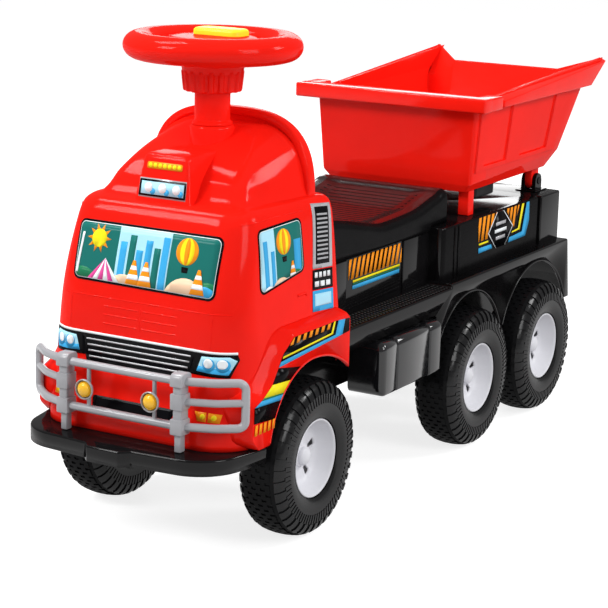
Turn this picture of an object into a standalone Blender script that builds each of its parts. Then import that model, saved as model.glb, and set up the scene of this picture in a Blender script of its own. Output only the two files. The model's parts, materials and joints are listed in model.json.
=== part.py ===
"""Ride-on toy dump truck: red cab with a steering wheel on its roof, saddle seat and tipping bed.

Lengths are metres. X is the truck's left, Y runs from the front axle towards the tail and Z is up from
the ground. Every piece hangs from one empty, which puts the origin on the ground under the truck's middle.
"""

import math

import bmesh
import bpy
from mathutils import Matrix, Vector

# Fits
GAP = 0.0003  # seam between two pieces that touch
PLAY = 0.0004  # radial play of a pin or shaft in its bore
STEER_PLAY = 0.0008  # radial play of a pin in a steering slot
WALL = 0.0025  # moulded wall
SINK = 0.0012  # how far a rib or boss is rooted in the wall that carries it
REACH = 0.020  # how far a cutter runs past what it cuts

# Wheels and axles
WHEEL_RADIUS = 0.080
WHEEL_STEPS = 16  # facets round a wheel
TYRE_WIDTH = 0.052
TYRE_SKIN = 0.0024
TYRE_CROWN = 0.0045  # drop from the middle of the tread to its shoulder
TYRE_BULGE = 0.004  # how far a wall bulges past its bead
TYRE_BELLY = 0.015  # widest place of a wall, above the bead
RIM_RADIUS = 0.0405  # bore of the tyre
TRACK = 0.218  # between the middles of a pair of wheels
WHEELBASE = 0.370  # front to middle axle
WHEEL_GAP = 0.0205  # between the tyres of the two rear axles
AXLE_RADIUS = 0.005
HUB_LIP = 0.021  # outer face of the hub from the wheel's middle
HUB_DISH_DEPTH = 0.019
HUB_DISH_TAPER = 0.012  # how much smaller the dish is at its floor
HUB_SKIN = 0.0026
HUB_BOSS_RADIUS = 0.0105
HUB_BOSS_INNER = 0.030  # inner end of the hub boss from the wheel's middle
HUB_SLOTS = 5
HUB_SLOT_INSET = 0.020  # middle of a slot from the tyre's bore
HUB_SLOT_SIZE = (0.0075, 0.0045)
CAP_RADIUS = 0.0095
CAP_LENGTH = 0.0105
CAP_BORE = 0.0065

# Front axle and steering linkage
KINGPIN_OFFSET = 0.047  # from the wheel's middle in to the kingpin
KINGPIN_RADIUS = 0.004
KNUCKLE_EYE_RADIUS = 0.009
KNUCKLE_HALF = 0.012  # half height of the knuckle's eye
STUB_COVER = 0.0055  # from the kingpin out to the stub axle's end
FORK_PLATE = 0.0075
BEAM_HALF_DEPTH = 0.008
BEAM_INSET = 0.017  # from the kingpin in to the end of the beam's middle
KNUCKLE_ARM = 0.030
ARM_HALF_WIDTH = 0.006
ARM_HALF_HEIGHT = 0.006
TIE_ROD_THICKNESS = 0.006
TIE_ROD_END = 0.012  # past each arm pin
TIE_ROD_EDGE = 0.0115  # in front of the crank pin
TIE_ROD_BACK = 0.008  # behind the arm pins
CRANK_ARM = 0.018
CRANK_THICKNESS = 0.006
CRANK_PIN_RADIUS = 0.004
CRANK_CHEEK = 0.003  # round the crank's two eyes
STEER_LIMIT = math.radians(30)
STEER_RATIO = 0.6  # knuckle angle for one of the steering wheel

# Frame
FRAME_RISE = 0.1088  # top of the frame above the axles
FRAME_PLATE = 0.0032
FRAME_FLANGE = 0.008  # plate outside the webs
FRAME_WEB = 0.003
FRAME_WEB_INSET = 0.012  # outer face of a web in from the kingpin
FRAME_WEB_DEPTH = 0.014  # webs below the rear axles
FRAME_WEB_TAIL = 0.030  # lowest part of the webs behind the rear axle
FRAME_STEP = 0.035  # where the webs are down to full depth, ahead of the middle axle
FRAME_STEP_RUN = 0.040
FRAME_NOSE = 0.021  # front edge behind the cab's
FRAME_TAIL = 0.006  # rear edge ahead of the body's
CAB_FLOOR_EDGE = 0.0105  # under the cab the plate is wider, this far in from its sides
CAB_FLOOR_TAIL = 0.009  # end of the wide part ahead of the cab's rear
AXLE_TUBE_RADIUS = 0.012

# Cab: level above the sill, inset of the side in front and behind, setback of the nose and the tail,
# corner radii in front and behind
CAB_HALF_WIDTH = 0.118
CAB_NOSE = 0.055  # sill in front of the tyres
CAB_TUCK = 0.001  # tail ahead of the rear of the front tyres
CAB_STATIONS = [
    (0.0000, 0.0005, 0.0015, 0.0000, 0.0000, 0.045, 0.012),
    (0.0192, 0.0000, 0.0015, 0.0020, 0.0000, 0.044, 0.012),
    (0.0372, 0.0010, 0.0020, 0.0080, 0.0000, 0.042, 0.012),
    (0.0772, 0.0035, 0.0030, 0.0134, 0.0000, 0.040, 0.012),
    (0.1322, 0.0095, 0.0070, 0.0185, 0.0085, 0.034, 0.014),
    (0.2002, 0.0180, 0.0130, 0.0360, 0.0230, 0.030, 0.016),
    (0.2142, 0.0225, 0.0160, 0.0415, 0.0260, 0.028, 0.016),
    (0.2207, 0.0300, 0.0210, 0.0490, 0.0290, 0.026, 0.016),
]
ROOF_STATIONS = [
    (0.2222, 0.0390, 0.0275, 0.0610, 0.0360, 0.022, 0.012),
    (0.2432, 0.0465, 0.0335, 0.0795, 0.0365, 0.024, 0.014),
    (0.2632, 0.0570, 0.0425, 0.1060, 0.0370, 0.024, 0.014),
    (0.2762, 0.0700, 0.0530, 0.1340, 0.0375, 0.018, 0.012),
    (0.2842, 0.0840, 0.0660, 0.1550, 0.0380, 0.009, 0.009),
]
ROOF_INSET = 0.006  # level offset that gives the sloping roof about one wall
PLAIN_INSIDE = (1, 6)  # stations that the inside runs straight past
SHOULDER = 6  # from this station up the inside follows the roof one wall lower
CAB_SILL_STEP = 0.0347  # how much higher the sill is behind the wheels
HOOP_INSET = 0.0235  # from the cab's widest side
HOOP_FOOT_LEVEL = 0.2122
HOOP_HEIGHT = 0.087
HOOP_BAND = 0.009
HOOP_WIDTH = 0.013
HOOP_TAIL = 0.031  # ahead of the cab's tail
HOOP_POWER = 2.5
POD_FOOT = (0.033, 0.0505, 0.2172)  # half width, setback, level
POD_HEAD = (0.025, 0.0595, 0.2667)
POD_LENGTH = 0.0725
POD_CORNER = 0.004
FLARE_PROUD = 0.0073
FLARE_ROOT = 0.0085  # how far behind the cab's widest side a flare starts
FLARE_CHAMFER = 0.005
FLARE_NOSE = 0.026  # leading edge behind the cab's nose
FLARE_TOP = 0.1012  # above the sill
FLARE_BREAST = 0.0612  # top of the upright leading edge above the sill
FLARE_TOE = 0.012  # lower cut corner
FLARE_BROW = 0.0424  # upper cut corner
FRONT_ARCH_CLEARANCE = 0.0015
FRONT_ARCH_LIFT = 0.0195  # centre of the arch above the axle
CAB_RIBS = (0.075, 0.178)  # behind the nose
CAB_RIB_THICKNESS = 0.0035
CAB_RIB_HEIGHT = 0.0162

# Bumper
BUMPER_DROP = 0.0763  # top of the bumper below the frame's
BUMPER_THICKNESS = 0.0155
BUMPER_DEPTH = 0.027  # in front of the bull bar
BUMPER_STEP = 0.0085  # how far the middle block stands forward
BUMPER_BLOCK_HALF = 0.018
BUMPER_OVERHANG = 0.012  # outside the cab
BUMPER_SWEEP = 0.007
BUMPER_CORNER = 0.038
BUMPER_TYRE_GAP = 0.006  # ends ahead of the front tyres
BUMPER_TAIL = 0.011  # width of the ends
BUMPER_INNER = 0.020  # rear edge of the middle ahead of the ends
BUMPER_EDGE = 0.0012

# Bull bar
BAR_GAP = 0.0025  # between the cab's nose and the uprights
UPRIGHT_X = 0.066
UPRIGHT_WIDTH = 0.010
UPRIGHT_DEPTH = 0.015
UPRIGHT_HEIGHT = 0.0752
UPRIGHT_EDGE = 0.0015
BAND_PROUD = 0.0018
BAND_HALF = 0.008
RAIL_RADIUS = 0.0040
RAIL_SETBACK = 0.0045  # behind the uprights' front
TOP_RAIL_DROP = 0.006  # rails below the uprights' tops
MID_RAIL_DROP = 0.0255
LOW_RAIL_DROP = 0.050
MID_RAIL_RADIUS = 0.0037
LOOP_BEND = (0.020, 0.012)  # in from the cab's side, back from the rail
LOOP_END = (-0.0025, 0.030)
LOOP_TURN = 0.006
STALK_RADIUS = 0.0022
LAMP_X = 0.038
LAMP_DROP = 0.029
LAMP_LENS_RADIUS = 0.0077
LAMP_WALL = 0.0025
LAMP_PROUD = 0.009  # face of the cup in front of the rail
LAMP_DEPTH = 0.011
LAMP_DOME = 0.0035

# Rear body
BODY_GAP = 0.0025  # behind the cab
BODY_HALF_WIDTH = 0.1157
BODY_OVERHANG = 0.0955  # behind the rear axle
BODY_RAKE = 0.011  # how much further back the skirts end
DECK_RISE = 0.0045  # rear deck above the front one
DECK_STEP_LEAD = 0.004  # step of the decks ahead of the load box
SKIRT_LIP_DEPTH = 0.0235
SKIRT_DEPTH = 0.0705
SKIRT_CHAMFER = (0.003, 0.016)
SEAT_LEDGE = 0.0352  # running board beside the seat box
SEAT_BOX_HEIGHT = 0.0705
PILASTER_LENGTH = 0.055
PILASTER_PROUD = 0.002
LOAD_LEDGE = 0.0157  # deck beside the load box
LOAD_BOX_LEAD = 0.044  # front of the load box ahead of the middle axle
LOAD_BOX_SETDOWN = 0.006  # its top below the seat box's
LOAD_BOX_CORNER = 0.008
TAIL_PANEL_LENGTH = 0.058
TAIL_PANEL_PROUD = 0.0025
TAIL_GROOVE = (0.004, 0.005)  # depth, width
MIDDLE_ARCH_CLEARANCE = 0.0065
MIDDLE_ARCH_LIFT = 0.0115
REAR_ARCH_CLEARANCE = 0.0175
REAR_ARCH_LIFT = 0.004
SEAT_BOX_RIB = 0.0685  # behind the body's front
LOAD_BOX_RIBS = (0.070, 0.0095)  # behind the middle and the rear axle

# Fuel tanks
TANK_LENGTH = 0.1395
TANK_HEIGHT = 0.0585
TANK_PROUD = 0.0103  # outside the skirt
TANK_TYRE_GAP = 0.0065
TANK_SKIRT_GAP = 0.004
TANK_DROP = 0.0025  # top below the skirt's lip
TANK_FILLET = 0.014
TANK_TOE = 0.004
TANK_GROOVE = 0.003
TANK_GROOVE_DEPTH = 0.0015
TANK_GROOVES = (0.23, 0.77)  # shares of the tank's length

# Seat: share of its length, height of the side edge above the seat box, depth of the pan below the edge
SEAT_NOSE = 0.005  # ahead of the body's front
SEAT_TAIL = 0.0416  # over the load box
SEAT_SKIRT = 0.0105  # how far it laps over the seat box
SEAT_SIDE = 0.0035  # side wall outside the seat box
SEAT_RIM = 0.018  # flat rim beside the pan
SEAT_PAN_SLOPE = 0.020
SEAT_TOP_SKIN = 0.004
SEAT_EDGE_RADIUS = 0.010
SEAT_STATIONS = [
    (0.0000, 0.0370, 0.0030),
    (0.0807, 0.0356, 0.0035),
    (0.2319, 0.0288, 0.0040),
    (0.3401, 0.0224, 0.0045),
    (0.5033, 0.0148, 0.0045),
    (0.7300, 0.0172, 0.0050),
    (0.8880, 0.0256, 0.0055),
    (0.9395, 0.0295, 0.0060),
    (0.9533, 0.0320, 0.0010),
    (0.9842, 0.0325, 0.0005),
    (1.0000, 0.0305, 0.0005),
]
SEAT_RIBS = (0.0258, 0.2697, 0.5101, 0.7334, 0.8777)  # cross ribs under the pan, as shares

# Dump bed: half width, distance behind the hinge and level above the floor, at the front corner,
# the rear tip and the fold of the tail
BED_LEVELS = [
    ((0.0800, -0.2100, 0.0000), (0.0800, 0.0100, 0.0000), (0.0600, 0.0130, 0.0000)),
    ((0.0965, -0.2255, 0.0210), (0.0925, 0.0330, 0.0210), (0.0622, 0.0220, 0.0210)),
    ((0.1030, -0.2305, 0.0950), (0.1075, 0.0600, 0.0950), (0.0689, 0.0566, 0.0950)),
    ((0.1035, -0.2310, 0.1050), (0.1165, 0.1105, 0.1290), (0.0708, 0.0660, 0.1150)),
]
BED_FILLET = 0.005
BED_EDGE = 0.0012
RIM_HALF_WIDTH = 0.1225
RIM_LEAD = 0.0195  # front rim ahead of the front wall
RIM_LEVEL = 0.096  # underside of the front rim above the floor
RIM_HEIGHT = 0.016
RIM_EAR = 0.0295  # ears behind the front wall
SIDE_RIM_LEAD = 0.0465  # start of the side rims behind the front wall
SIDE_RIM_PROUD = 0.001  # past the rear tip
SIDE_RIM_LEVEL = 0.0945
SIDE_RIM_BEAK = (0.068, 0.098)  # where the rim's lower edge ends, behind the hinge and above the floor
BED_RIBS = (-0.160, -0.094, -0.028)  # from the hinge
BED_RIB_WIDTH = 0.010
BED_RIB_TAPER = 0.002
BED_RIB_PROUD = 0.0025
HINGE_LEAD = 0.024  # ahead of the body's rear edge
HINGE_PIN_RADIUS = 0.004
HINGE_EYE_RADIUS = 0.0105
HINGE_BASE = 0.002  # load box to the hinge eyes
HINGE_BASE_MARGIN = (0.004, 0.017)  # beside the cheeks, along the truck
HINGE_PIN_END = 0.001
HINGE_CROWN = 0.006  # hinge eyes to the bed's floor
LUG_X = 0.0725
LUG_WIDTH = 0.009
CHEEK = 0.005
BED_FOOT_INSET = 0.006  # inner face of a front foot inside the floor's edge
BED_FOOT_WIDTH = 0.013
BED_FOOT_LENGTH = 0.015
STOP_PAD = (0.055, 0.017, 0.157, 0.049)  # inner face, width, front ahead of the hinge, length
STOP_PAD_DEPTH = 0.018
STOP_PAD_EDGE = 0.002

# Steering wheel and column
COLUMN_Y = 0.004
BOSS_RADIUS = 0.0243
BOSS_STAND = 0.003  # above the roof
BOSS_DEPTH = 0.032
SLEEVE_RADIUS = 0.0207
SLEEVE_LENGTH = 0.0327
BUSH_RADIUS = 0.0125
SHAFT_RADIUS = 0.006
SHAFT_RISE = 0.005  # top of the shaft above the collar
COLLAR_RADIUS = 0.0344
COLLAR_HEIGHT = 0.0207
COLLAR_DRAFT = 0.001
COLLAR_FLUTES = 12
COLLAR_FLUTE_DEPTH = 0.0025
NECK_HEIGHT = 0.0125
NECK_TAPER = 0.004
PAD_RADIUS = 0.046
PAD_HEIGHT = 0.0205
PAD_EDGE = 0.004
RIM_LIFT = 0.011  # middle of the rim above the pad's foot
RIM_CENTRE_RADIUS = 0.0733
RIM_TUBE_RADIUS = 0.0152
RIM_STEPS = (9, 28)  # facets round the tube and round the wheel
SPOKE_TURN = math.radians(-8)  # the wheel is fitted a little off square
SPOKE_WIDTH = 0.026
SPOKE_LIFT = 0.0025  # above the pad's foot
SPOKE_HEIGHT = 0.012
SPOKE_ROOT = 0.012  # inside the pad
SPOKE_EDGE = 0.002
HORN_SIZE = (0.054, 0.028)
HORN_CORNER = 0.008
HORN_OFFSET = 0.014  # from the column towards the rider
HORN_HEIGHT = 0.0103
HORN_EDGE = (0.002, 0.003)
HORN_TRAVEL = 0.0025
HORN_POCKET_DEPTH = 0.0078
SPRING_RADIUS = 0.006
SPRING_WIRE = 0.0006
SPRING_SOLID = 0.0015  # height of the pressed spring
SPRING_TURNS = 2

# Places along the truck, from the front axle towards the tail
MIDDLE_AXLE = WHEELBASE
REAR_AXLE = MIDDLE_AXLE + 2 * WHEEL_RADIUS + WHEEL_GAP
CAB_FRONT = -(WHEEL_RADIUS + CAB_NOSE)
CAB_REAR = WHEEL_RADIUS - CAB_TUCK
CAB_FLOOR_REAR = CAB_REAR - CAB_FLOOR_TAIL
FLARE_FRONT = CAB_FRONT + FLARE_NOSE
HOOP_REAR = CAB_REAR - HOOP_TAIL
POD_REAR = CAB_FRONT + POD_FOOT[1] + POD_LENGTH
FRAME_FRONT = CAB_FRONT + FRAME_NOSE
UPRIGHT_REAR = CAB_FRONT - BAR_GAP
UPRIGHT_FRONT = UPRIGHT_REAR - UPRIGHT_DEPTH
RAIL_Y = UPRIGHT_FRONT + RAIL_SETBACK
LAMP_FACE = RAIL_Y - LAMP_PROUD
LAMP_BACK = LAMP_FACE + LAMP_DEPTH
BUMPER_FRONT = UPRIGHT_FRONT - BUMPER_DEPTH
BUMPER_END = -(WHEEL_RADIUS + BUMPER_TYRE_GAP)
BUMPER_MIDDLE_REAR = BUMPER_END - BUMPER_INNER
BODY_FRONT = CAB_REAR + BODY_GAP
LOAD_BOX_FRONT = MIDDLE_AXLE - LOAD_BOX_LEAD
DECK_STEP = LOAD_BOX_FRONT - DECK_STEP_LEAD
TANK_REAR = MIDDLE_AXLE - WHEEL_RADIUS - TANK_TYRE_GAP
TANK_FRONT = TANK_REAR - TANK_LENGTH
SKIRT_DROP = TANK_REAR + TANK_SKIRT_GAP
BODY_REAR = REAR_AXLE + BODY_OVERHANG
TAIL_PANEL_FRONT = BODY_REAR - TAIL_PANEL_LENGTH
FRAME_REAR = BODY_REAR - FRAME_TAIL
SEAT_FRONT = BODY_FRONT - SEAT_NOSE
SEAT_REAR = LOAD_BOX_FRONT + SEAT_TAIL
HINGE_Y = BODY_REAR - HINGE_LEAD
BED_FRONT_WALL = HINGE_Y + BED_LEVELS[2][0][1]
TRUCK_MIDDLE = (BUMPER_FRONT + HINGE_Y + BED_LEVELS[3][1][1]) / 2
TIE_ROD_FRONT = COLUMN_Y + CRANK_ARM - TIE_ROD_EDGE
TIE_ROD_REAR = KNUCKLE_ARM + TIE_ROD_BACK

# Places across the truck
WHEEL_X = TRACK / 2
HUB_END = WHEEL_X - HUB_BOSS_INNER  # where the hub bosses start
AXLE_HALF_LENGTH = WHEEL_X + HUB_LIP - HUB_DISH_DEPTH + CAP_BORE - GAP
KINGPIN_X = WHEEL_X - KINGPIN_OFFSET
FRAME_WEB_X = KINGPIN_X - FRAME_WEB_INSET
FRAME_HALF_WIDTH = FRAME_WEB_X + FRAME_FLANGE
CAB_FLOOR_HALF = CAB_HALF_WIDTH - CAB_FLOOR_EDGE
FLARE_FACE = CAB_HALF_WIDTH + FLARE_PROUD
HOOP_HALF_WIDTH = CAB_HALF_WIDTH - HOOP_INSET
BUMPER_HALF_WIDTH = CAB_HALF_WIDTH + BUMPER_OVERHANG
SEAT_BOX_HALF = BODY_HALF_WIDTH - SEAT_LEDGE
LOAD_BOX_HALF = BODY_HALF_WIDTH - LOAD_LEDGE
TANK_FACE = BODY_HALF_WIDTH + TANK_PROUD
SEAT_HALF_WIDTH = SEAT_BOX_HALF + SEAT_SIDE
SEAT_PAN_HALF = SEAT_HALF_WIDTH - SEAT_RIM
PIN_BORE = HINGE_PIN_RADIUS + PLAY

# Levels above the ground
FRAME_TOP = WHEEL_RADIUS + FRAME_RISE
FRAME_FOOT = WHEEL_RADIUS - FRAME_WEB_DEPTH
BEAM_TOP = WHEEL_RADIUS + KNUCKLE_HALF + GAP + FORK_PLATE
BEAM_FOOT = WHEEL_RADIUS - KNUCKLE_HALF - GAP - FORK_PLATE
ARM_TOP = WHEEL_RADIUS + ARM_HALF_HEIGHT
TIE_ROD_FOOT = ARM_TOP + GAP
BUMPER_TOP = FRAME_TOP - BUMPER_DROP
BAR_FOOT = BUMPER_TOP + GAP
UPRIGHT_TOP = BAR_FOOT + UPRIGHT_HEIGHT
TOP_RAIL_Z = UPRIGHT_TOP - TOP_RAIL_DROP
MID_RAIL_Z = UPRIGHT_TOP - MID_RAIL_DROP
LOW_RAIL_Z = UPRIGHT_TOP - LOW_RAIL_DROP
LAMP_Z = UPRIGHT_TOP - LAMP_DROP
CAB_BOTTOM = BUMPER_TOP + GAP
CAB_REAR_SILL = CAB_BOTTOM + CAB_SILL_STEP
HOOP_FOOT = CAB_BOTTOM + HOOP_FOOT_LEVEL
CAB_RIB_TOP = FRAME_TOP + CAB_RIB_HEIGHT
FRONT_DECK = FRAME_TOP + GAP + WALL
REAR_DECK = FRONT_DECK + DECK_RISE
SKIRT_LIP = FRONT_DECK - SKIRT_LIP_DEPTH
SKIRT_FOOT = FRONT_DECK - SKIRT_DEPTH
TANK_TOP = SKIRT_LIP - TANK_DROP
TANK_FOOT = TANK_TOP - TANK_HEIGHT
SEAT_BOX_TOP = FRONT_DECK + SEAT_BOX_HEIGHT
SEAT_FOOT = SEAT_BOX_TOP - SEAT_SKIRT
LOAD_BOX_TOP = SEAT_BOX_TOP - LOAD_BOX_SETDOWN
HINGE_Z = LOAD_BOX_TOP + HINGE_BASE + HINGE_EYE_RADIUS
BED_FLOOR = HINGE_Z + HINGE_EYE_RADIUS + HINGE_CROWN
RIM_FOOT = BED_FLOOR + RIM_LEVEL
BOSS_TOP = CAB_BOTTOM + ROOF_STATIONS[-1][0] + BOSS_STAND
BOSS_ROOT = BOSS_TOP - BOSS_DEPTH
COLLAR_FOOT = BOSS_TOP + SLEEVE_LENGTH + 2 * GAP
COLLAR_TOP = COLLAR_FOOT + COLLAR_HEIGHT
SHAFT_TOP = COLLAR_TOP + SHAFT_RISE
PAD_FOOT = COLLAR_TOP + NECK_HEIGHT
PAD_TOP = PAD_FOOT + PAD_HEIGHT
RIM_Z = PAD_FOOT + RIM_LIFT
HORN_POCKET_FOOT = PAD_TOP - HORN_POCKET_DEPTH
HORN_FOOT = HORN_POCKET_FOOT + SPRING_SOLID + HORN_TRAVEL
HORN_TOP = HORN_FOOT + HORN_HEIGHT

RED = ((0.86, 0.012, 0.006), 0.22, 0.0)
BLACK = ((0.012, 0.012, 0.013), 0.25, 0.0)
GREY = ((0.47, 0.47, 0.49), 0.40, 0.0)
AMBER = ((0.95, 0.55, 0.02), 0.25, 0.0)
YELLOW = ((0.93, 0.80, 0.03), 0.30, 0.0)
WHITE = ((0.86, 0.86, 0.86), 0.35, 0.0)
TYRE_BLACK = ((0.020, 0.020, 0.021), 0.55, 0.0)
STEEL = ((0.60, 0.60, 0.62), 0.30, 1.0)
NYLON = ((0.05, 0.05, 0.05), 0.45, 0.0)


def new_collection(name):
    collection = bpy.data.collections.new(name)
    bpy.context.scene.collection.children.link(collection)
    return collection


def clear_scene():
    for obj in list(bpy.data.objects):
        bpy.data.objects.remove(obj, do_unlink=True)


clear_scene()
PARTS = new_collection("toy_dump_truck")
CUTTERS = new_collection("cutters")
TRUCK = bpy.data.objects.new("truck", None)
TRUCK.location = (0, -TRUCK_MIDDLE, 0)
PARTS.objects.link(TRUCK)


def material(name, look):
    """A plain Principled finish: colour, roughness, metallic."""
    colour, roughness, metallic = look
    made = bpy.data.materials.get(name) or bpy.data.materials.new(name)
    made.use_nodes = True
    shader = made.node_tree.nodes["Principled BSDF"]
    shader.inputs["Base Color"].default_value = (*colour, 1)
    shader.inputs["Roughness"].default_value = roughness
    shader.inputs["Metallic"].default_value = metallic
    return made


def mesh_from(bm, name):
    """A mesh whose faces all look outwards."""
    bmesh.ops.recalc_face_normals(bm, faces=bm.faces)
    mesh = bpy.data.meshes.new(name)
    bm.to_mesh(mesh)
    bm.free()
    return mesh


def add_part(name, mesh, look, pivot=(0, 0, 0), parent=TRUCK):
    """A visible piece whose mesh is drawn round its own pivot."""
    mesh.materials.clear()
    mesh.materials.append(material(name, look))
    mesh.shade_smooth()
    mesh.set_sharp_from_angle(angle=math.radians(32))
    obj = bpy.data.objects.new(name, mesh)
    obj.location = pivot
    obj.parent = parent
    PARTS.objects.link(obj)
    return obj


def solid(name, bm, look, pivot=(0, 0, 0)):
    """A piece from a shape in truck coordinates, with its origin at the pivot."""
    bmesh.ops.translate(bm, verts=bm.verts, vec=-Vector(pivot))
    return add_part(name, mesh_from(bm, name), look, pivot)


def tool(name, bm):
    """A hidden shape that a Boolean adds or takes away."""
    obj = bpy.data.objects.new(name, mesh_from(bm, name))
    obj.hide_render = True
    obj.display_type = "WIRE"
    obj.parent = TRUCK
    CUTTERS.objects.link(obj)
    return obj


def boolean(obj, operation, name, bm):
    modifier = obj.modifiers.new(name, "BOOLEAN")
    modifier.operation = operation
    modifier.solver = "EXACT"
    modifier.object = tool(f"{obj.name}_{name}", bm)


def join(obj, name, bm):
    boolean(obj, "UNION", name, bm)


def cut(obj, name, bm):
    boolean(obj, "DIFFERENCE", name, bm)


def evaluated(obj):
    """The object's finished mesh as a bmesh, with the object removed."""
    graph = bpy.context.evaluated_depsgraph_get()
    mesh = bpy.data.meshes.new_from_object(obj.evaluated_get(graph))
    bpy.data.objects.remove(obj, do_unlink=True)
    bm = bmesh.new()
    bm.from_mesh(mesh)
    bpy.data.meshes.remove(mesh)
    bmesh.ops.remove_doubles(bm, verts=bm.verts, dist=1e-6)
    return bm


def block(low, high, bevel=0.0, segments=1):
    """A box between two corners, with its edges rounded off."""
    low, high = Vector(low), Vector(high)
    bm = bmesh.new()
    bmesh.ops.create_cube(bm, size=1)
    size = Matrix.Diagonal((*(high - low), 1))
    bmesh.ops.transform(bm, matrix=Matrix.Translation((low + high) / 2) @ size, verts=bm.verts)
    if bevel:
        bmesh.ops.bevel(
            bm, geom=bm.edges[:], offset=bevel, segments=segments, profile=0.5, affect="EDGES", material=-1
        )
    return bm


def rod(start, end, radius, sides=12):
    """A round bar between two points."""
    start, end = Vector(start), Vector(end)
    bm = bmesh.new()
    bmesh.ops.create_cone(
        bm, cap_ends=True, segments=sides, radius1=radius, radius2=radius, depth=(end - start).length
    )
    turn = Vector((0, 0, 1)).rotation_difference(end - start).to_matrix().to_4x4()
    bmesh.ops.transform(bm, matrix=Matrix.Translation((start + end) / 2) @ turn, verts=bm.verts)
    return bm


def turned(profile, axis, steps, centre=(0, 0, 0), closed=True):
    """A profile of (along the axis, radius) points turned round an axis through the centre."""
    along = {"X": Vector((1, 0, 0)), "Y": Vector((0, 1, 0)), "Z": Vector((0, 0, 1))}[axis]
    out = Vector((1, 0, 0)) if axis == "Z" else Vector((0, 0, 1))
    points = [along * a + out * r for a, r in profile]
    edges = [(i, i + 1) for i in range(len(points) - 1)]
    if closed:
        edges.append((len(points) - 1, 0))
    mesh = bpy.data.meshes.new("profile")
    mesh.from_pydata(points, edges, [])
    obj = bpy.data.objects.new("profile", mesh)
    CUTTERS.objects.link(obj)
    screw = obj.modifiers.new("screw", "SCREW")
    screw.axis = axis
    screw.steps = screw.render_steps = steps
    screw.use_merge_vertices = True
    screw.merge_threshold = 1e-5
    bm = evaluated(obj)
    bmesh.ops.translate(bm, verts=bm.verts, vec=Vector(centre))
    return bm


def tube(points, radius, resolution=1):
    """A round tube along a line of points, with closed ends."""
    curve = bpy.data.curves.new("tube", "CURVE")
    curve.dimensions = "3D"
    curve.bevel_depth = radius
    curve.bevel_resolution = resolution
    curve.use_fill_caps = True
    spline = curve.splines.new("POLY")
    spline.points.add(len(points) - 1)
    for target, point in zip(spline.points, points):
        target.co = (*point, 1)
    obj = bpy.data.objects.new("tube", curve)
    CUTTERS.objects.link(obj)
    return evaluated(obj)


def rounded(corners, radii, steps=3):
    """A closed outline with each corner replaced by an arc; a radius of 0 keeps the corner."""
    count = len(corners)
    radii = list(radii) if isinstance(radii, (list, tuple)) else [radii] * count
    steps = list(steps) if isinstance(steps, (list, tuple)) else [steps] * count
    corners = [Vector(corner) for corner in corners]
    points = []
    for i, here in enumerate(corners):
        radius = radii[i]
        if radius == 0:
            points.append(here)
            continue
        before = (corners[i - 1] - here).normalized()
        after = (corners[(i + 1) % len(corners)] - here).normalized()
        half = before.angle(after) / 2
        centre = here + (before + after).normalized() * (radius / math.sin(half))
        start = here + before * (radius / math.tan(half)) - centre
        end = here + after * (radius / math.tan(half)) - centre
        sweep = math.pi - 2 * half
        for k in range(steps[i] + 1):
            t = k / steps[i]
            arm = start * math.sin((1 - t) * sweep) + end * math.sin(t * sweep)
            points.append(centre + arm / math.sin(sweep))
    return points


def inset(corners, depth):
    """The outline moved inwards by a depth; the outline runs anticlockwise, and heights are kept."""
    moved = []
    for i, here in enumerate(corners):
        here = Vector(here)
        flat = Vector(here[:2])
        arrive = (flat - Vector(corners[i - 1][:2])).normalized()
        leave = (Vector(corners[(i + 1) % len(corners)][:2]) - flat).normalized()
        normal_a = Vector((-arrive.y, arrive.x))
        normal_b = Vector((-leave.y, leave.x))
        shift = (normal_a + normal_b) * (depth / (1 + normal_a.dot(normal_b)))
        moved.append(Vector((*(flat + shift), *here[2:])))
    return moved


def mirrored(half):
    """A half outline on the +X side, closed by its mirror image."""
    return [*half, *[(-x, *rest) for x, *rest in reversed(half)]]


def loft(rings, twisted=False):
    """A closed skin through rings of equally many points, capped; twisted faces become triangles."""
    bm = bmesh.new()
    rows = [[bm.verts.new(point) for point in ring] for ring in rings]
    count = len(rows[0])
    for low, high in zip(rows, rows[1:]):
        for i in range(count):
            j = (i + 1) % count
            bm.faces.new((low[i], low[j], high[j], high[i]))
    bm.faces.new(rows[0])
    bm.faces.new(rows[-1])
    if twisted:
        bmesh.ops.triangulate(bm, faces=bm.faces)
    return bm


def prism(outline, axis, low, high):
    """A flat outline pushed out along an axis. The outline is (y, z), (x, z) or (x, y)."""
    place = {
        "X": lambda p, at: (at, p[0], p[1]),
        "Y": lambda p, at: (p[0], at, p[1]),
        "Z": lambda p, at: (p[0], p[1], at),
    }[axis]
    return loft([[place(p, at) for p in outline] for at in (low, high)])


def both(build):
    """Builds a left-hand and a right-hand piece."""
    for side, hand in ((1, "left"), (-1, "right")):
        build(side, hand)


def span(side, low, high):
    """An X range on one side of the truck, in rising order."""
    return (low, high) if side > 0 else (-high, -low)


def sided(outline, side):
    """An (x, ...) outline moved to one side of the truck."""
    return [(side * x, *rest) for x, *rest in outline]


def shaft_bore(low, high, radius):
    return rod((0, COLUMN_Y, low), (0, COLUMN_Y, high), radius, 16)


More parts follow.
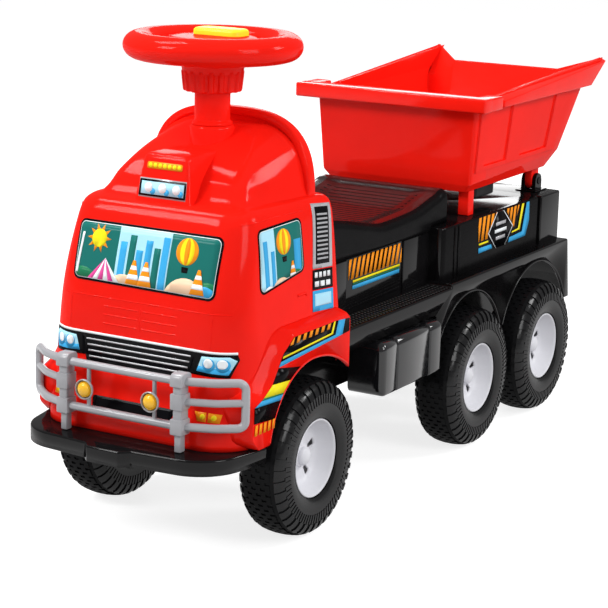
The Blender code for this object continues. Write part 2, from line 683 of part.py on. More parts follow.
def build_frame():
    """The hidden carrier: a plate with side webs, axle tubes and a front wall."""
    under = FRAME_TOP - FRAME_PLATE
    plate = [
        (CAB_FLOOR_HALF, FRAME_FRONT),
        (CAB_FLOOR_HALF, CAB_FLOOR_REAR),
        (FRAME_HALF_WIDTH, CAB_FLOOR_REAR),
        (FRAME_HALF_WIDTH, FRAME_REAR),
    ]
    radii = [CAB_STATIONS[3][5], 0.004, 0, 0.004]
    outline = rounded(mirrored(plate), radii + radii[::-1])
    frame = solid("chassis_frame", prism(outline, "Z", under, FRAME_TOP), BLACK)
    notch = BUMPER_MIDDLE_REAR + FRAME_WEB
    web = rounded(
        [
            (FRAME_FRONT, BUMPER_TOP + GAP),
            (notch, BUMPER_TOP + GAP),
            (notch, BEAM_TOP + GAP),
            (MIDDLE_AXLE - FRAME_STEP - FRAME_STEP_RUN, BEAM_TOP + GAP),
            (MIDDLE_AXLE - FRAME_STEP, FRAME_FOOT),
            (REAR_AXLE + FRAME_WEB_TAIL, FRAME_FOOT),
            (FRAME_REAR, BEAM_TOP + FRAME_WEB_DEPTH),
            (FRAME_REAR, under + SINK),
            (FRAME_FRONT, under + SINK),
        ],
        [0, 0, 0, 0.015, 0.010, 0.010, 0.010, 0, 0],
    )
    for side in (1, -1):
        low, high = span(side, FRAME_WEB_X - FRAME_WEB, FRAME_WEB_X)
        join(frame, f"web{side}", prism(web, "X", low, high))
    front = block(
        (-FRAME_HALF_WIDTH, FRAME_FRONT, BUMPER_TOP + GAP),
        (FRAME_HALF_WIDTH, FRAME_FRONT + FRAME_WEB, under + SINK),
    )
    join(frame, "front_wall", front)
    axles = (("middle", MIDDLE_AXLE), ("rear", REAR_AXLE))
    for name, y in axles:
        ends = [(x, y, WHEEL_RADIUS) for x in (-HUB_END + GAP, HUB_END - GAP)]
        join(frame, f"{name}_axle_tube", rod(*ends, AXLE_TUBE_RADIUS, 16))
    for name, y in axles:
        ends = [(x, y, WHEEL_RADIUS) for x in (-HUB_END - WALL, HUB_END + WALL)]
        cut(frame, f"{name}_axle_bore", rod(*ends, AXLE_RADIUS + PLAY, 12))
    cut(frame, "shaft_bore", shaft_bore(under - WALL, FRAME_TOP + WALL, SHAFT_RADIUS + PLAY))


def cab_ring(station, depth, drop=0.0):
    """One level outline of the cab, moved inwards by a depth and down by a drop."""
    level, front_inset, rear_inset, nose, tail, front_radius, rear_radius = station
    front_half, rear_half = CAB_HALF_WIDTH - front_inset, CAB_HALF_WIDTH - rear_inset
    front, rear = CAB_FRONT + nose, CAB_REAR - tail
    corners = [(-front_half, front), (front_half, front), (rear_half, rear), (-rear_half, rear)]
    radii = [max(r - depth, WALL) for r in (front_radius, front_radius, rear_radius, rear_radius)]
    outline = rounded(inset(corners, depth), radii, [4, 4, 2, 2])
    return [(x, y, CAB_BOTTOM + level - drop) for x, y in outline]


def cab_skin():
    """Outside from the roof down, then inside from the sill up, as one closed shell."""
    outside = [cab_ring(s, 0.0) for s in reversed(CAB_STATIONS + ROOF_STATIONS)]
    inside = []
    for k, station in enumerate(CAB_STATIONS):
        if k not in PLAIN_INSIDE:
            inside.append(cab_ring(station, WALL, WALL if k >= SHOULDER else 0.0))
    inside += [cab_ring(s, ROOF_INSET, WALL) for s in ROOF_STATIONS]
    return loft(outside + inside)


def hoop_outline():
    """The arched band over the back of the roof."""
    arcs = []
    for shrink in (0.0, HOOP_BAND):
        width, height = HOOP_HALF_WIDTH - shrink, HOOP_HEIGHT - shrink
        arc = []
        for k in range(13):
            turn = math.pi * k / 12
            c, s = math.cos(turn), math.sin(turn)
            x = math.copysign(abs(c) ** (2 / HOOP_POWER), c) * width
            arc.append((x, HOOP_FOOT + abs(s) ** (2 / HOOP_POWER) * height))
        arcs.append(arc)
    return arcs[0] + arcs[1][::-1]


def pod_ring(place, depth, drop=0.0):
    half, nose, level = place
    front = CAB_FRONT + nose
    corners = [(-half, front), (half, front), (half, POD_REAR), (-half, POD_REAR)]
    outline = rounded(inset(corners, depth), POD_CORNER, 2)
    return [(x, y, CAB_BOTTOM + level - drop) for x, y in outline]


def flare(side, depth):
    """A wheel-arch flare, or with a depth the hollow behind it."""
    sill, top, rear = CAB_BOTTOM + GAP, CAB_BOTTOM + FLARE_TOP, CAB_REAR - GAP
    outline = [
        (0, sill),
        (0, CAB_REAR_SILL),
        (rear, CAB_REAR_SILL),
        (rear - SINK, top),
        (FLARE_FRONT + FLARE_BROW, top),
        (FLARE_FRONT, CAB_BOTTOM + FLARE_BREAST),
        (FLARE_FRONT, sill + FLARE_TOE),
        (FLARE_FRONT + FLARE_TOE, sill),
    ]
    face = FLARE_FACE - depth
    body = inset(outline, depth)
    crown = inset(outline, depth + FLARE_CHAMFER)
    root = CAB_HALF_WIDTH - FLARE_ROOT - depth
    places = [(root, body), (face - FLARE_CHAMFER, body), (face, crown)]
    return loft([[(side * x, y, z) for y, z in ring] for x, ring in places])


def build_cab():
    """The red cab: one hollow moulding, open below, with its roof, lamp pod and wheel-arch flares."""
    cab = solid("cab_shell", cab_skin(), RED)
    join(cab, "lamp_pod", loft([pod_ring(POD_FOOT, 0.0), pod_ring(POD_HEAD, 0.0)]))
    cut(cab, "pod_hollow", loft([pod_ring(POD_FOOT, WALL, WALL), pod_ring(POD_HEAD, WALL, WALL)]))
    join(cab, "hoop", prism(hoop_outline(), "Y", HOOP_REAR - HOOP_WIDTH, HOOP_REAR))
    for side in (1, -1):
        join(cab, f"flare{side}", flare(side, 0.0))
        cut(cab, f"flare_hollow{side}", flare(side, WALL))
    reach = FLARE_FACE + WALL
    arch_z = WHEEL_RADIUS + FRONT_ARCH_LIFT
    arch = rod((-reach, 0, arch_z), (reach, 0, arch_z), WHEEL_RADIUS + FRONT_ARCH_CLEARANCE, 28)
    cut(cab, "wheel_arch", arch)
    below = CAB_BOTTOM - REACH
    sill = block((-reach, CAB_REAR - WHEEL_RADIUS + WALL, below), (reach, CAB_REAR + REACH, CAB_REAR_SILL))
    cut(cab, "rear_sill", sill)
    passage_half = FRAME_HALF_WIDTH + SINK
    passage = block(
        (-passage_half, CAB_FLOOR_REAR - SINK, below), (passage_half, CAB_REAR + REACH, FRAME_TOP + SINK)
    )
    cut(cab, "frame_passage", passage)
    for k, behind in enumerate(CAB_RIBS):
        y, half = CAB_FRONT + behind, FLARE_FACE - SINK
        rib = block((-half, y, FRAME_TOP + GAP), (half, y + CAB_RIB_THICKNESS, CAB_RIB_TOP))
        join(cab, f"rib{k}", rib)
    join(cab, "column_boss", shaft_bore(BOSS_ROOT, BOSS_TOP, BOSS_RADIUS))
    cut(cab, "column_bore", shaft_bore(BOSS_ROOT - REACH, BOSS_TOP + WALL, BUSH_RADIUS + GAP))


def build_bumper():
    """A black shelf under the cab with a stepped middle and swept-back ends."""
    half = [
        (BUMPER_BLOCK_HALF, BUMPER_FRONT),
        (BUMPER_BLOCK_HALF + BUMPER_STEP, BUMPER_FRONT + BUMPER_STEP),
        (BUMPER_HALF_WIDTH - BUMPER_OVERHANG, BUMPER_FRONT + BUMPER_STEP + BUMPER_SWEEP),
        (BUMPER_HALF_WIDTH, BUMPER_END),
        (BUMPER_HALF_WIDTH - BUMPER_TAIL, BUMPER_END),
        (BUMPER_HALF_WIDTH - BUMPER_TAIL - BUMPER_OVERHANG, BUMPER_MIDDLE_REAR + WALL),
        (FRAME_HALF_WIDTH, BUMPER_MIDDLE_REAR),
    ]
    radii = [0, 0, BUMPER_CORNER, 0, 0, 0, 0]
    radii += radii[::-1]
    foot = BUMPER_TOP - BUMPER_THICKNESS
    bm = prism(rounded(mirrored(half), radii, 5), "Z", foot, BUMPER_TOP)
    edge = [e for e in bm.edges if abs(e.verts[0].co.z - e.verts[1].co.z) < 1e-6]
    bmesh.ops.bevel(bm, geom=edge, offset=BUMPER_EDGE, segments=1, profile=0.5, affect="EDGES", material=-1)
    bumper = solid("bumper", bm, BLACK)
    hollow = rounded([Vector(p) for p in inset(mirrored(half), WALL)], radii, 3)
    cut(bumper, "hollow", prism(hollow, "Z", foot - WALL, BUMPER_TOP - WALL))


def build_bull_bar():
    """A grey guard: two uprights, rails between them, side loops and lamp cups."""
    half = UPRIGHT_WIDTH / 2
    posts = []
    for side in (1, -1):
        low, high = span(side, UPRIGHT_X - half, UPRIGHT_X + half)
        posts.append(block((low, UPRIGHT_FRONT, BAR_FOOT), (high, UPRIGHT_REAR, UPRIGHT_TOP), UPRIGHT_EDGE))
    bar = solid("bull_bar", posts[0], GREY)
    join(bar, "right_upright", posts[1])
    for k, z in enumerate((LOW_RAIL_Z, MID_RAIL_Z, TOP_RAIL_Z)):
        for side in (1, -1):
            low, high = span(side, UPRIGHT_X - half - BAND_PROUD, UPRIGHT_X + half + BAND_PROUD)
            front, rear = UPRIGHT_FRONT - BAND_PROUD, UPRIGHT_REAR - BAND_PROUD
            join(bar, f"band{k}{side}", block((low, front, z - BAND_HALF), (high, rear, z + BAND_HALF)))
    for name, z in (("top", TOP_RAIL_Z), ("low", LOW_RAIL_Z)):
        ends = [(-UPRIGHT_X, RAIL_Y, z), (UPRIGHT_X, RAIL_Y, z)]
        join(bar, f"{name}_rail", tube(ends, RAIL_RADIUS, 1))
    for side in (1, -1):
        root = Vector((side * UPRIGHT_X, RAIL_Y))
        bend = Vector((side * (CAB_HALF_WIDTH - LOOP_BEND[0]), RAIL_Y + LOOP_BEND[1]))
        end = Vector((side * (CAB_HALF_WIDTH - LOOP_END[0]), RAIL_Y + LOOP_END[1]))
        near = end + (bend - end).normalized() * LOOP_TURN
        loop = [
            (*root, TOP_RAIL_Z),
            (*bend, TOP_RAIL_Z),
            (*near, TOP_RAIL_Z),
            (*end, TOP_RAIL_Z - LOOP_TURN),
            (*end, LOW_RAIL_Z + LOOP_TURN),
            (*near, LOW_RAIL_Z),
            (*bend, LOW_RAIL_Z),
            (*root, LOW_RAIL_Z),
        ]
        join(bar, f"loop{side}", tube(loop, RAIL_RADIUS, 1))
        middle = [(*root, MID_RAIL_Z), (*bend, MID_RAIL_Z), (*end, MID_RAIL_Z)]
        join(bar, f"mid_rail{side}", tube(middle, MID_RAIL_RADIUS, 1))
        stalk = [(side * LAMP_X, RAIL_Y, TOP_RAIL_Z), (side * LAMP_X, RAIL_Y, LOW_RAIL_Z)]
        join(bar, f"stalk{side}", tube(stalk, STALK_RADIUS, 0))
        ends = [(side * LAMP_X, y, LAMP_Z) for y in (LAMP_FACE, LAMP_BACK)]
        join(bar, f"lamp_cup{side}", rod(*ends, LAMP_LENS_RADIUS + GAP + LAMP_WALL, 16))
        ends = [(side * LAMP_X, y, LAMP_Z) for y in (LAMP_FACE - WALL, LAMP_BACK - WALL)]
        cut(bar, f"lamp_bore{side}", rod(*ends, LAMP_LENS_RADIUS + GAP, 12))


def build_lamp_lens(side, hand):
    """An amber dome in a lamp cup."""
    seat = LAMP_BACK - WALL - GAP
    profile = [(seat, 0), (seat, LAMP_LENS_RADIUS), (LAMP_FACE, LAMP_LENS_RADIUS)]
    for k in range(1, 4):
        turn = math.pi / 2 * k / 3
        profile.append((LAMP_FACE - LAMP_DOME * math.sin(turn), LAMP_LENS_RADIUS * math.cos(turn)))
    profile[-1] = (profile[-1][0], 0)
    lens = turned(profile, "Y", 12, (side * LAMP_X, 0, LAMP_Z), closed=False)
    solid(f"fog_lamp_lens_{hand}", lens, AMBER)


def body_outline(depth):
    """Side view of the decks and skirts; a depth gives the hollow inside them."""
    top_front, top_rear = FRONT_DECK - depth, REAR_DECK - depth
    open_below = REACH if depth else 0.0
    foot, lip = SKIRT_FOOT - open_below, SKIRT_LIP - open_below
    back, down = SKIRT_CHAMFER
    return [
        (BODY_FRONT + depth, lip),
        (SKIRT_DROP - back + depth, lip),
        (SKIRT_DROP + depth, lip - down),
        (SKIRT_DROP + depth, foot),
        (BODY_REAR + BODY_RAKE - depth, foot),
        (BODY_REAR - depth, top_rear),
        (DECK_STEP + depth, top_rear),
        (DECK_STEP + depth, top_front),
        (BODY_FRONT + depth, top_front),
    ]


def build_rear_body():
    """The black body: running boards, arched skirts, seat box and load box, open below."""
    half = BODY_HALF_WIDTH
    body = solid("rear_body", prism(body_outline(0.0), "X", -half, half), BLACK)
    front = BODY_FRONT + SINK
    seat_box = block(
        (-SEAT_BOX_HALF, front, FRONT_DECK - SINK),
        (SEAT_BOX_HALF, LOAD_BOX_FRONT + LOAD_BOX_CORNER + SINK, SEAT_BOX_TOP),
    )
    join(body, "seat_box", seat_box)
    pilaster_half = SEAT_BOX_HALF + PILASTER_PROUD
    pilaster = block(
        (-pilaster_half, front + SINK, FRONT_DECK - SINK / 2),
        (pilaster_half, front + PILASTER_LENGTH, SEAT_FOOT - SINK),
    )
    join(body, "pilaster", pilaster)
    groove_depth, groove_width = TAIL_GROOVE
    tail_half = LOAD_BOX_HALF + TAIL_PANEL_PROUD
    plan = [
        (LOAD_BOX_HALF, LOAD_BOX_FRONT),
        (LOAD_BOX_HALF, TAIL_PANEL_FRONT - groove_width - SINK),
        (LOAD_BOX_HALF - groove_depth, TAIL_PANEL_FRONT - groove_width),
        (LOAD_BOX_HALF - groove_depth, TAIL_PANEL_FRONT),
        (tail_half, TAIL_PANEL_FRONT),
        (tail_half, BODY_REAR - SINK),
    ]
    radii = [LOAD_BOX_CORNER, 0, 0, 0, LOAD_BOX_CORNER / 4, LOAD_BOX_CORNER / 2]
    outline = rounded(mirrored(plan), radii + radii[::-1])
    join(body, "load_box", prism(outline, "Z", REAR_DECK - SINK, LOAD_BOX_TOP))
    inner = half - WALL
    cut(body, "deck_hollow", prism(body_outline(WALL), "X", -inner, inner))
    hollow = block(
        (-SEAT_BOX_HALF + WALL, front + WALL, FRONT_DECK - REACH),
        (SEAT_BOX_HALF - WALL, LOAD_BOX_FRONT, SEAT_BOX_TOP - WALL),
    )
    cut(body, "seat_box_hollow", hollow)
    hollow_half = LOAD_BOX_HALF - groove_depth - SINK
    hollow = block(
        (-hollow_half, LOAD_BOX_FRONT + WALL, REAR_DECK - REACH),
        (hollow_half, BODY_REAR - SINK - WALL, LOAD_BOX_TOP - WALL),
    )
    cut(body, "load_box_hollow", hollow)
    arches = (
        ("middle", MIDDLE_AXLE, MIDDLE_ARCH_CLEARANCE, MIDDLE_ARCH_LIFT),
        ("rear", REAR_AXLE, REAR_ARCH_CLEARANCE, REAR_ARCH_LIFT),
    )
    for name, y, clearance, lift in arches:
        ends = [(x, y, WHEEL_RADIUS + lift) for x in (-half - WALL, half + WALL)]
        cut(body, f"{name}_arch", rod(*ends, WHEEL_RADIUS + clearance, 28))
    reach = FRAME_HALF_WIDTH + SINK
    passage = block(
        (-reach, BODY_FRONT - WALL, SKIRT_FOOT - REACH), (reach, SKIRT_DROP + REACH, FRAME_TOP + GAP / 2)
    )
    cut(body, "frame_passage", passage)
    ribs = [(BODY_FRONT + SEAT_BOX_RIB, SEAT_BOX_HALF, SEAT_BOX_TOP)]
    for axle, behind in zip((MIDDLE_AXLE, REAR_AXLE), LOAD_BOX_RIBS):
        ribs.append((axle + behind, hollow_half + WALL, LOAD_BOX_TOP))
    for k, (y, box_half, ceiling) in enumerate(ribs):
        rib = block((-box_half + SINK, y, FRAME_TOP + GAP), (box_half - SINK, y + WALL, ceiling - SINK))
        join(body, f"rib{k}", rib)


def groove_ring(outside, core):
    """The band between two outlines round the outer side of a tank, from its foot to its top."""
    return [*outside[1:-1], *reversed(core[1:-1])]


def tank_outline(side, grow, fillet, toe):
    """End view of a fuel tank, moved outwards by an amount."""
    root, face = FRAME_WEB_X + GAP - grow, TANK_FACE + grow
    low, high = TANK_FOOT - grow, TANK_TOP + grow
    corners = [(root, low), (face, low), (face, high), (root, high)]
    return sided(rounded(corners, [0, toe, fillet, 0], 4), side)


def build_tank(side, hand):
    """A fuel-tank box under the running board, with two strap grooves."""
    outline = tank_outline(side, 0.0, TANK_FILLET, TANK_TOE)
    tank = solid(f"fuel_tank_{hand}", prism(outline, "Y", TANK_FRONT, TANK_REAR), BLACK)
    low, high = span(side, FRAME_WEB_X - WALL, TANK_FACE - WALL)
    hollow = block(
        (low, TANK_FRONT + WALL, TANK_FOOT - WALL), (high, TANK_REAR - WALL, TANK_TOP - TANK_FILLET)
    )
    cut(tank, "hollow", hollow)
    for k, share in enumerate(TANK_GROOVES):
        y = TANK_FRONT + share * (TANK_REAR - TANK_FRONT)
        core = tank_outline(side, -TANK_GROOVE_DEPTH, TANK_FILLET - TANK_GROOVE_DEPTH, TANK_TOE)
        ring = groove_ring(tank_outline(side, WALL, TANK_FILLET, TANK_TOE), core)
        cut(tank, f"groove{k}", prism(ring, "Y", y - TANK_GROOVE / 2, y + TANK_GROOVE / 2))


def seat_pan(share):
    """Height of the bottom of the pan at a share of the seat's length."""
    for (at, edge, dip), (next_at, next_edge, next_dip) in zip(SEAT_STATIONS, SEAT_STATIONS[1:]):
        if share <= next_at:
            t = (share - at) / (next_at - at)
            return SEAT_BOX_TOP + (edge - dip) * (1 - t) + (next_edge - next_dip) * t
    return SEAT_BOX_TOP + SEAT_STATIONS[-1][1]


def build_seat():
    """The saddle: a dished top with a raised rear lip, hollow underneath so that it caps the seat box."""
    rings = []
    for share, height, dip in SEAT_STATIONS:
        y, edge = SEAT_FRONT + share * (SEAT_REAR - SEAT_FRONT), SEAT_BOX_TOP + height
        half = [
            (SEAT_HALF_WIDTH, SEAT_FOOT),
            (SEAT_HALF_WIDTH, edge),
            (SEAT_PAN_HALF, edge),
            (SEAT_PAN_HALF - SEAT_PAN_SLOPE, edge - dip),
        ]
        radii = [0, SEAT_EDGE_RADIUS, 0, 0]
        outline = rounded(mirrored(half), radii + radii[::-1])
        rings.append([(x, y, z) for x, z in outline])
    seat = solid("seat", loft(rings), BLACK)
    pocket = block(
        (-SEAT_BOX_HALF - GAP, SEAT_FRONT - WALL, SEAT_FOOT - WALL),
        (SEAT_BOX_HALF + GAP, SEAT_REAR - WALL, SEAT_BOX_TOP + GAP),
    )
    cut(seat, "pocket", pocket)
    reach = SEAT_HALF_WIDTH + WALL
    step = block(
        (-reach, LOAD_BOX_FRONT - GAP, SEAT_FOOT - WALL), (reach, SEAT_REAR + WALL, LOAD_BOX_TOP + GAP)
    )
    cut(seat, "load_box_step", step)
    bay_half = SEAT_HALF_WIDTH - 2 * WALL
    for k, (front, rear) in enumerate(zip(SEAT_RIBS, SEAT_RIBS[1:])):
        length = SEAT_REAR - SEAT_FRONT
        start, stop = SEAT_FRONT + front * length + WALL, SEAT_FRONT + rear * length - WALL
        rings = []
        for y in (start, (start + stop) / 2, stop):
            top = seat_pan((y - SEAT_FRONT) / length) - SEAT_TOP_SKIN
            outline = mirrored([(bay_half, SEAT_FOOT), (bay_half, top)])
            rings.append([(x, y, z) for x, z in outline])
        cut(seat, f"bay{k}", loft(rings))


def bed_corners(level):
    half = [(x, HINGE_Y + y, BED_FLOOR + z) for x, y, z in level]
    return mirrored(half)


def bed_ring(level, depth=0.0, lift=0.0):
    corners = inset(bed_corners(level), depth)
    raised = [Vector((c.x, c.y, c.z + lift)) for c in corners]
    return rounded(raised, BED_FILLET, 1)


def bed_side_x(y, z):
    """Outer face of a bed side between its knee and the rim."""
    knee, rim = BED_LEVELS[1], BED_LEVELS[2]
    share = (z - BED_FLOOR - knee[0][2]) / (rim[0][2] - knee[0][2])
    ends = []
    for low, high in zip(knee[:2], rim[:2]):
        ends.append([a + (b - a) * share for a, b in zip(low, high)])
    (x0, y0, _), (x1, y1, _) = ends
    return x0 + (x1 - x0) * (y - HINGE_Y - y0) / (y1 - y0)


def side_rim(side):
    """The flange along a bed side, rising to the tail's tip."""
    (root, _, _), (tip_x, tip_y, tip_level) = BED_LEVELS[2][0], BED_LEVELS[3][1]
    _, wall_y, wall_level = BED_LEVELS[3][0]
    lead = BED_FRONT_WALL + SIDE_RIM_LEAD
    slope = (tip_level - wall_level) / (tip_y - wall_y)
    lead_top = BED_FLOOR + wall_level + slope * (lead - HINGE_Y - wall_y) + GAP
    foot, top = BED_FLOOR + SIDE_RIM_LEVEL, BED_FLOOR + tip_level + GAP
    beak_y, beak_z = HINGE_Y + SIDE_RIM_BEAK[0], BED_FLOOR + SIDE_RIM_BEAK[1]
    outer = tip_x + SIDE_RIM_PROUD
    front = [
        (root - SINK, lead, foot),
        (outer - SINK, lead, foot),
        (outer - SINK, lead, lead_top),
        (root - SINK, lead, lead_top),
    ]
    rear = [
        (bed_side_x(beak_y, beak_z) - SINK, beak_y, beak_z),
        (outer, beak_y, beak_z),
        (outer, HINGE_Y + tip_y, top),
        (tip_x - SINK, HINGE_Y + tip_y, top),
    ]
    return loft([sided(ring, side) for ring in (front, rear)], True)


def bed_rib(side, y):
    """An upright rib on a bed side, from its knee to the rim."""
    rings = []
    for z in (BED_FLOOR + BED_LEVELS[1][0][2] + WALL, BED_FLOOR + SIDE_RIM_LEVEL + SINK):
        inner = bed_side_x(y, z) - SINK
        outer = inner + SINK + BED_RIB_PROUD
        half, narrow = BED_RIB_WIDTH / 2, BED_RIB_WIDTH / 2 - BED_RIB_TAPER
        foot = [(inner, y + half, z), (inner, y - half, z)]
        rings.append([(outer, y - narrow, z), (outer, y + narrow, z), *foot])
    return loft([sided(ring, side) for ring in rings], True)


def bed_foot(side):
    """A front foot that carries the bed on the load box."""
    edge, knee = BED_LEVELS[0][0][0], BED_LEVELS[1][0]
    inner = edge - BED_FOOT_INSET
    outer = inner + BED_FOOT_WIDTH
    slope = knee[2] / (knee[0] - edge)
    outline = [
        (inner, LOAD_BOX_TOP + GAP),
        (outer, LOAD_BOX_TOP + GAP),
        (outer, BED_FLOOR + (outer - edge) * slope + SINK),
        (edge, BED_FLOOR + SINK),
        (inner, BED_FLOOR + SINK),
    ]
    start = HINGE_Y + BED_LEVELS[0][0][1] + SINK
    return prism(sided(outline, side), "Y", start, start + BED_FOOT_LENGTH)


def build_bed():
    """The tipping tub: flared walls, a scooped tail, rim flanges, side ribs, front feet and hinge lugs."""
    outside = [bed_ring(level) for level in BED_LEVELS]
    inside = [bed_ring(level, WALL) for level in reversed(BED_LEVELS[1:])]
    inside.append(bed_ring(BED_LEVELS[0], WALL, WALL))
    bed = solid("dump_bed", loft(outside + inside, True), RED, (0, HINGE_Y, HINGE_Z))
    lead, rear, top = BED_FRONT_WALL - RIM_LEAD, BED_FRONT_WALL + WALL - GAP, RIM_FOOT + RIM_HEIGHT
    front = block((-RIM_HALF_WIDTH, lead, RIM_FOOT), (RIM_HALF_WIDTH, rear, top), BED_EDGE)
    join(bed, "front_rim", front)
    for side in (1, -1):
        low, high = span(side, BED_LEVELS[2][0][0] - SINK, RIM_HALF_WIDTH - GAP)
        ear = block((low, lead + WALL, RIM_FOOT + GAP), (high, BED_FRONT_WALL + RIM_EAR, top - GAP), BED_EDGE)
        join(bed, f"ear{side}", ear)
        join(bed, f"side_rim{side}", side_rim(side))
        for k, y in enumerate(BED_RIBS):
            join(bed, f"rib{k}{side}", bed_rib(side, HINGE_Y + y))
        join(bed, f"foot{side}", bed_foot(side))
        join(bed, f"lug{side}", hinge_plate(side, LUG_X, LUG_WIDTH, HINGE_EYE_RADIUS, BED_FLOOR + SINK))
        ends = [(side * x, HINGE_Y, HINGE_Z) for x in (LUG_X - LUG_WIDTH, LUG_X + LUG_WIDTH)]
        cut(bed, f"pin_bore{side}", rod(*ends, PIN_BORE, 12))


def hinge_plate(side, x, width, eye, end_z):
    """A plate round the hinge pin that runs up or down to a level."""
    points = []
    down = end_z < HINGE_Z
    for k in range(7):
        turn = math.pi * k / 6
        lift = eye * math.sin(turn)
        points.append((HINGE_Y + eye * math.cos(turn), HINGE_Z + (lift if down else -lift)))
    outline = [(HINGE_Y + eye, end_z), *points, (HINGE_Y - eye, end_z)]
    low, high = span(side, x - width / 2, x + width / 2)
    return prism(outline, "X", low, high)


def build_hinge(side, hand):
    """A bracket with two cheeks on the load box, and the pin through them."""
    reach = LUG_WIDTH / 2 + GAP + CHEEK
    foot = LOAD_BOX_TOP + GAP
    beside, along = HINGE_BASE_MARGIN
    low, high = span(side, LUG_X - reach - beside, LUG_X + reach + beside)
    base = block(
        (low, HINGE_Y - along, foot), (high, HINGE_Y + along, HINGE_Z - HINGE_EYE_RADIUS - GAP)
    )
    bracket = solid(f"hinge_bracket_{hand}", base, BLACK)
    for k, offset in enumerate((-1, 1)):
        x = LUG_X + offset * (LUG_WIDTH / 2 + GAP + CHEEK / 2)
        join(bracket, f"cheek{k}", hinge_plate(side, x, CHEEK, HINGE_EYE_RADIUS - SINK, foot + GAP))
    ends = [(side * (LUG_X + s * (reach + HINGE_PIN_END)), HINGE_Y, HINGE_Z) for s in (-1, 1)]
    cut(bracket, "pin_bore", rod(*ends, HINGE_PIN_RADIUS + GAP, 12))
    solid(f"hinge_pin_{hand}", rod(*ends, HINGE_PIN_RADIUS, 12), STEEL, (0, HINGE_Y, HINGE_Z))


def build_stop_pad(side, hand):
    """A soft pad under the bed floor."""
    inner, width, ahead, length = STOP_PAD
    low, high = span(side, inner, inner + width)
    front, top = HINGE_Y - ahead, BED_FLOOR - GAP
    pad = block((low, front, top - STOP_PAD_DEPTH), (high, front + length, top), STOP_PAD_EDGE)
    solid(f"bed_stop_{hand}", pad, NYLON, (0, HINGE_Y, HINGE_Z))


def collar_ring(z, radius):
    points = []
    for k in range(COLLAR_FLUTES * 4):
        low = k % 4 in (2, 3)
        turn = 2 * math.pi * k / (COLLAR_FLUTES * 4)
        r = radius - (COLLAR_FLUTE_DEPTH if low else 0)
        points.append((r * math.cos(turn), COLUMN_Y + r * math.sin(turn), z))
    return points


def build_steering_wheel():
    """Rim, three spokes, hub pad and fluted collar as one red piece."""
    circle = []
    facets, steps = RIM_STEPS
    for k in range(facets):
        turn = 2 * math.pi * k / facets
        rise, reach = RIM_TUBE_RADIUS * math.sin(turn), RIM_TUBE_RADIUS * math.cos(turn)
        circle.append((RIM_Z + rise, RIM_CENTRE_RADIUS + reach))
    centre = (0, COLUMN_Y, 0)
    wheel = solid("steering_wheel", turned(circle, "Z", steps, centre), RED, (0, COLUMN_Y, RIM_Z))
    foot = PAD_FOOT + SPOKE_LIFT
    for k in range(3):
        bm = block(
            (PAD_RADIUS - SPOKE_ROOT, -SPOKE_WIDTH / 2, foot),
            (RIM_CENTRE_RADIUS, SPOKE_WIDTH / 2, foot + SPOKE_HEIGHT),
            SPOKE_EDGE,
        )
        turn = Matrix.Rotation(math.pi / 2 + k * 2 * math.pi / 3 + SPOKE_TURN, 4, "Z")
        bmesh.ops.transform(bm, matrix=Matrix.Translation(centre) @ turn, verts=bm.verts)
        join(wheel, f"spoke{k}", bm)
    pad = [
        (PAD_FOOT, 0),
        (PAD_FOOT, PAD_RADIUS - PAD_EDGE),
        (PAD_FOOT + PAD_EDGE, PAD_RADIUS),
        (PAD_TOP - PAD_EDGE, PAD_RADIUS),
        (PAD_TOP, PAD_RADIUS - PAD_EDGE),
        (PAD_TOP, 0),
    ]
    join(wheel, "pad", turned(pad, "Z", 22, centre, closed=False))
    neck = [
        (COLLAR_TOP - WALL, 0),
        (COLLAR_TOP - WALL, COLLAR_RADIUS - NECK_TAPER),
        (PAD_FOOT + SINK, COLLAR_RADIUS + NECK_TAPER),
        (PAD_FOOT + SINK, 0),
    ]
    join(wheel, "neck", turned(neck, "Z", 16, centre, closed=False))
    collar = [collar_ring(COLLAR_FOOT, COLLAR_RADIUS - COLLAR_DRAFT), collar_ring(COLLAR_TOP, COLLAR_RADIUS)]
    join(wheel, "collar", loft(collar))
    cut(wheel, "shaft_bore", shaft_bore(COLLAR_FOOT - WALL, SHAFT_TOP + GAP, SHAFT_RADIUS + PLAY))
    cut(wheel, "horn_pocket", prism(horn_plan(GAP), "Z", HORN_POCKET_FOOT, PAD_TOP + WALL))


def horn_plan(grow):
    x, y = HORN_SIZE[0] / 2 + grow, HORN_SIZE[1] / 2 + grow
    middle = COLUMN_Y + HORN_OFFSET
    corners = [(-x, middle - y), (x, middle - y), (x, middle + y), (-x, middle + y)]
    return rounded(corners, HORN_CORNER + grow, 4)


def build_horn():
    """The yellow button, standing on a coil spring in the pad's pocket."""
    drop, inward = HORN_EDGE
    levels = [(HORN_FOOT, 0.0), (HORN_TOP - drop, 0.0), (HORN_TOP, -inward)]
    rings = [[(x, y, z) for x, y in horn_plan(grow)] for z, grow in levels]
    pivot = (0, COLUMN_Y + HORN_OFFSET, HORN_FOOT)
    solid("horn_button", loft(rings), YELLOW, pivot)
    points = []
    low, high = HORN_POCKET_FOOT + SPRING_WIRE + GAP, HORN_FOOT - SPRING_WIRE - GAP
    count = SPRING_TURNS * 10
    for k in range(count + 1):
        turn = 2 * math.pi * k / 10
        x, y = SPRING_RADIUS * math.cos(turn), SPRING_RADIUS * math.sin(turn)
        points.append((x, COLUMN_Y + HORN_OFFSET + y, low + (high - low) * k / count))
    solid("horn_spring", tube(points, SPRING_WIRE, 0), STEEL, pivot)


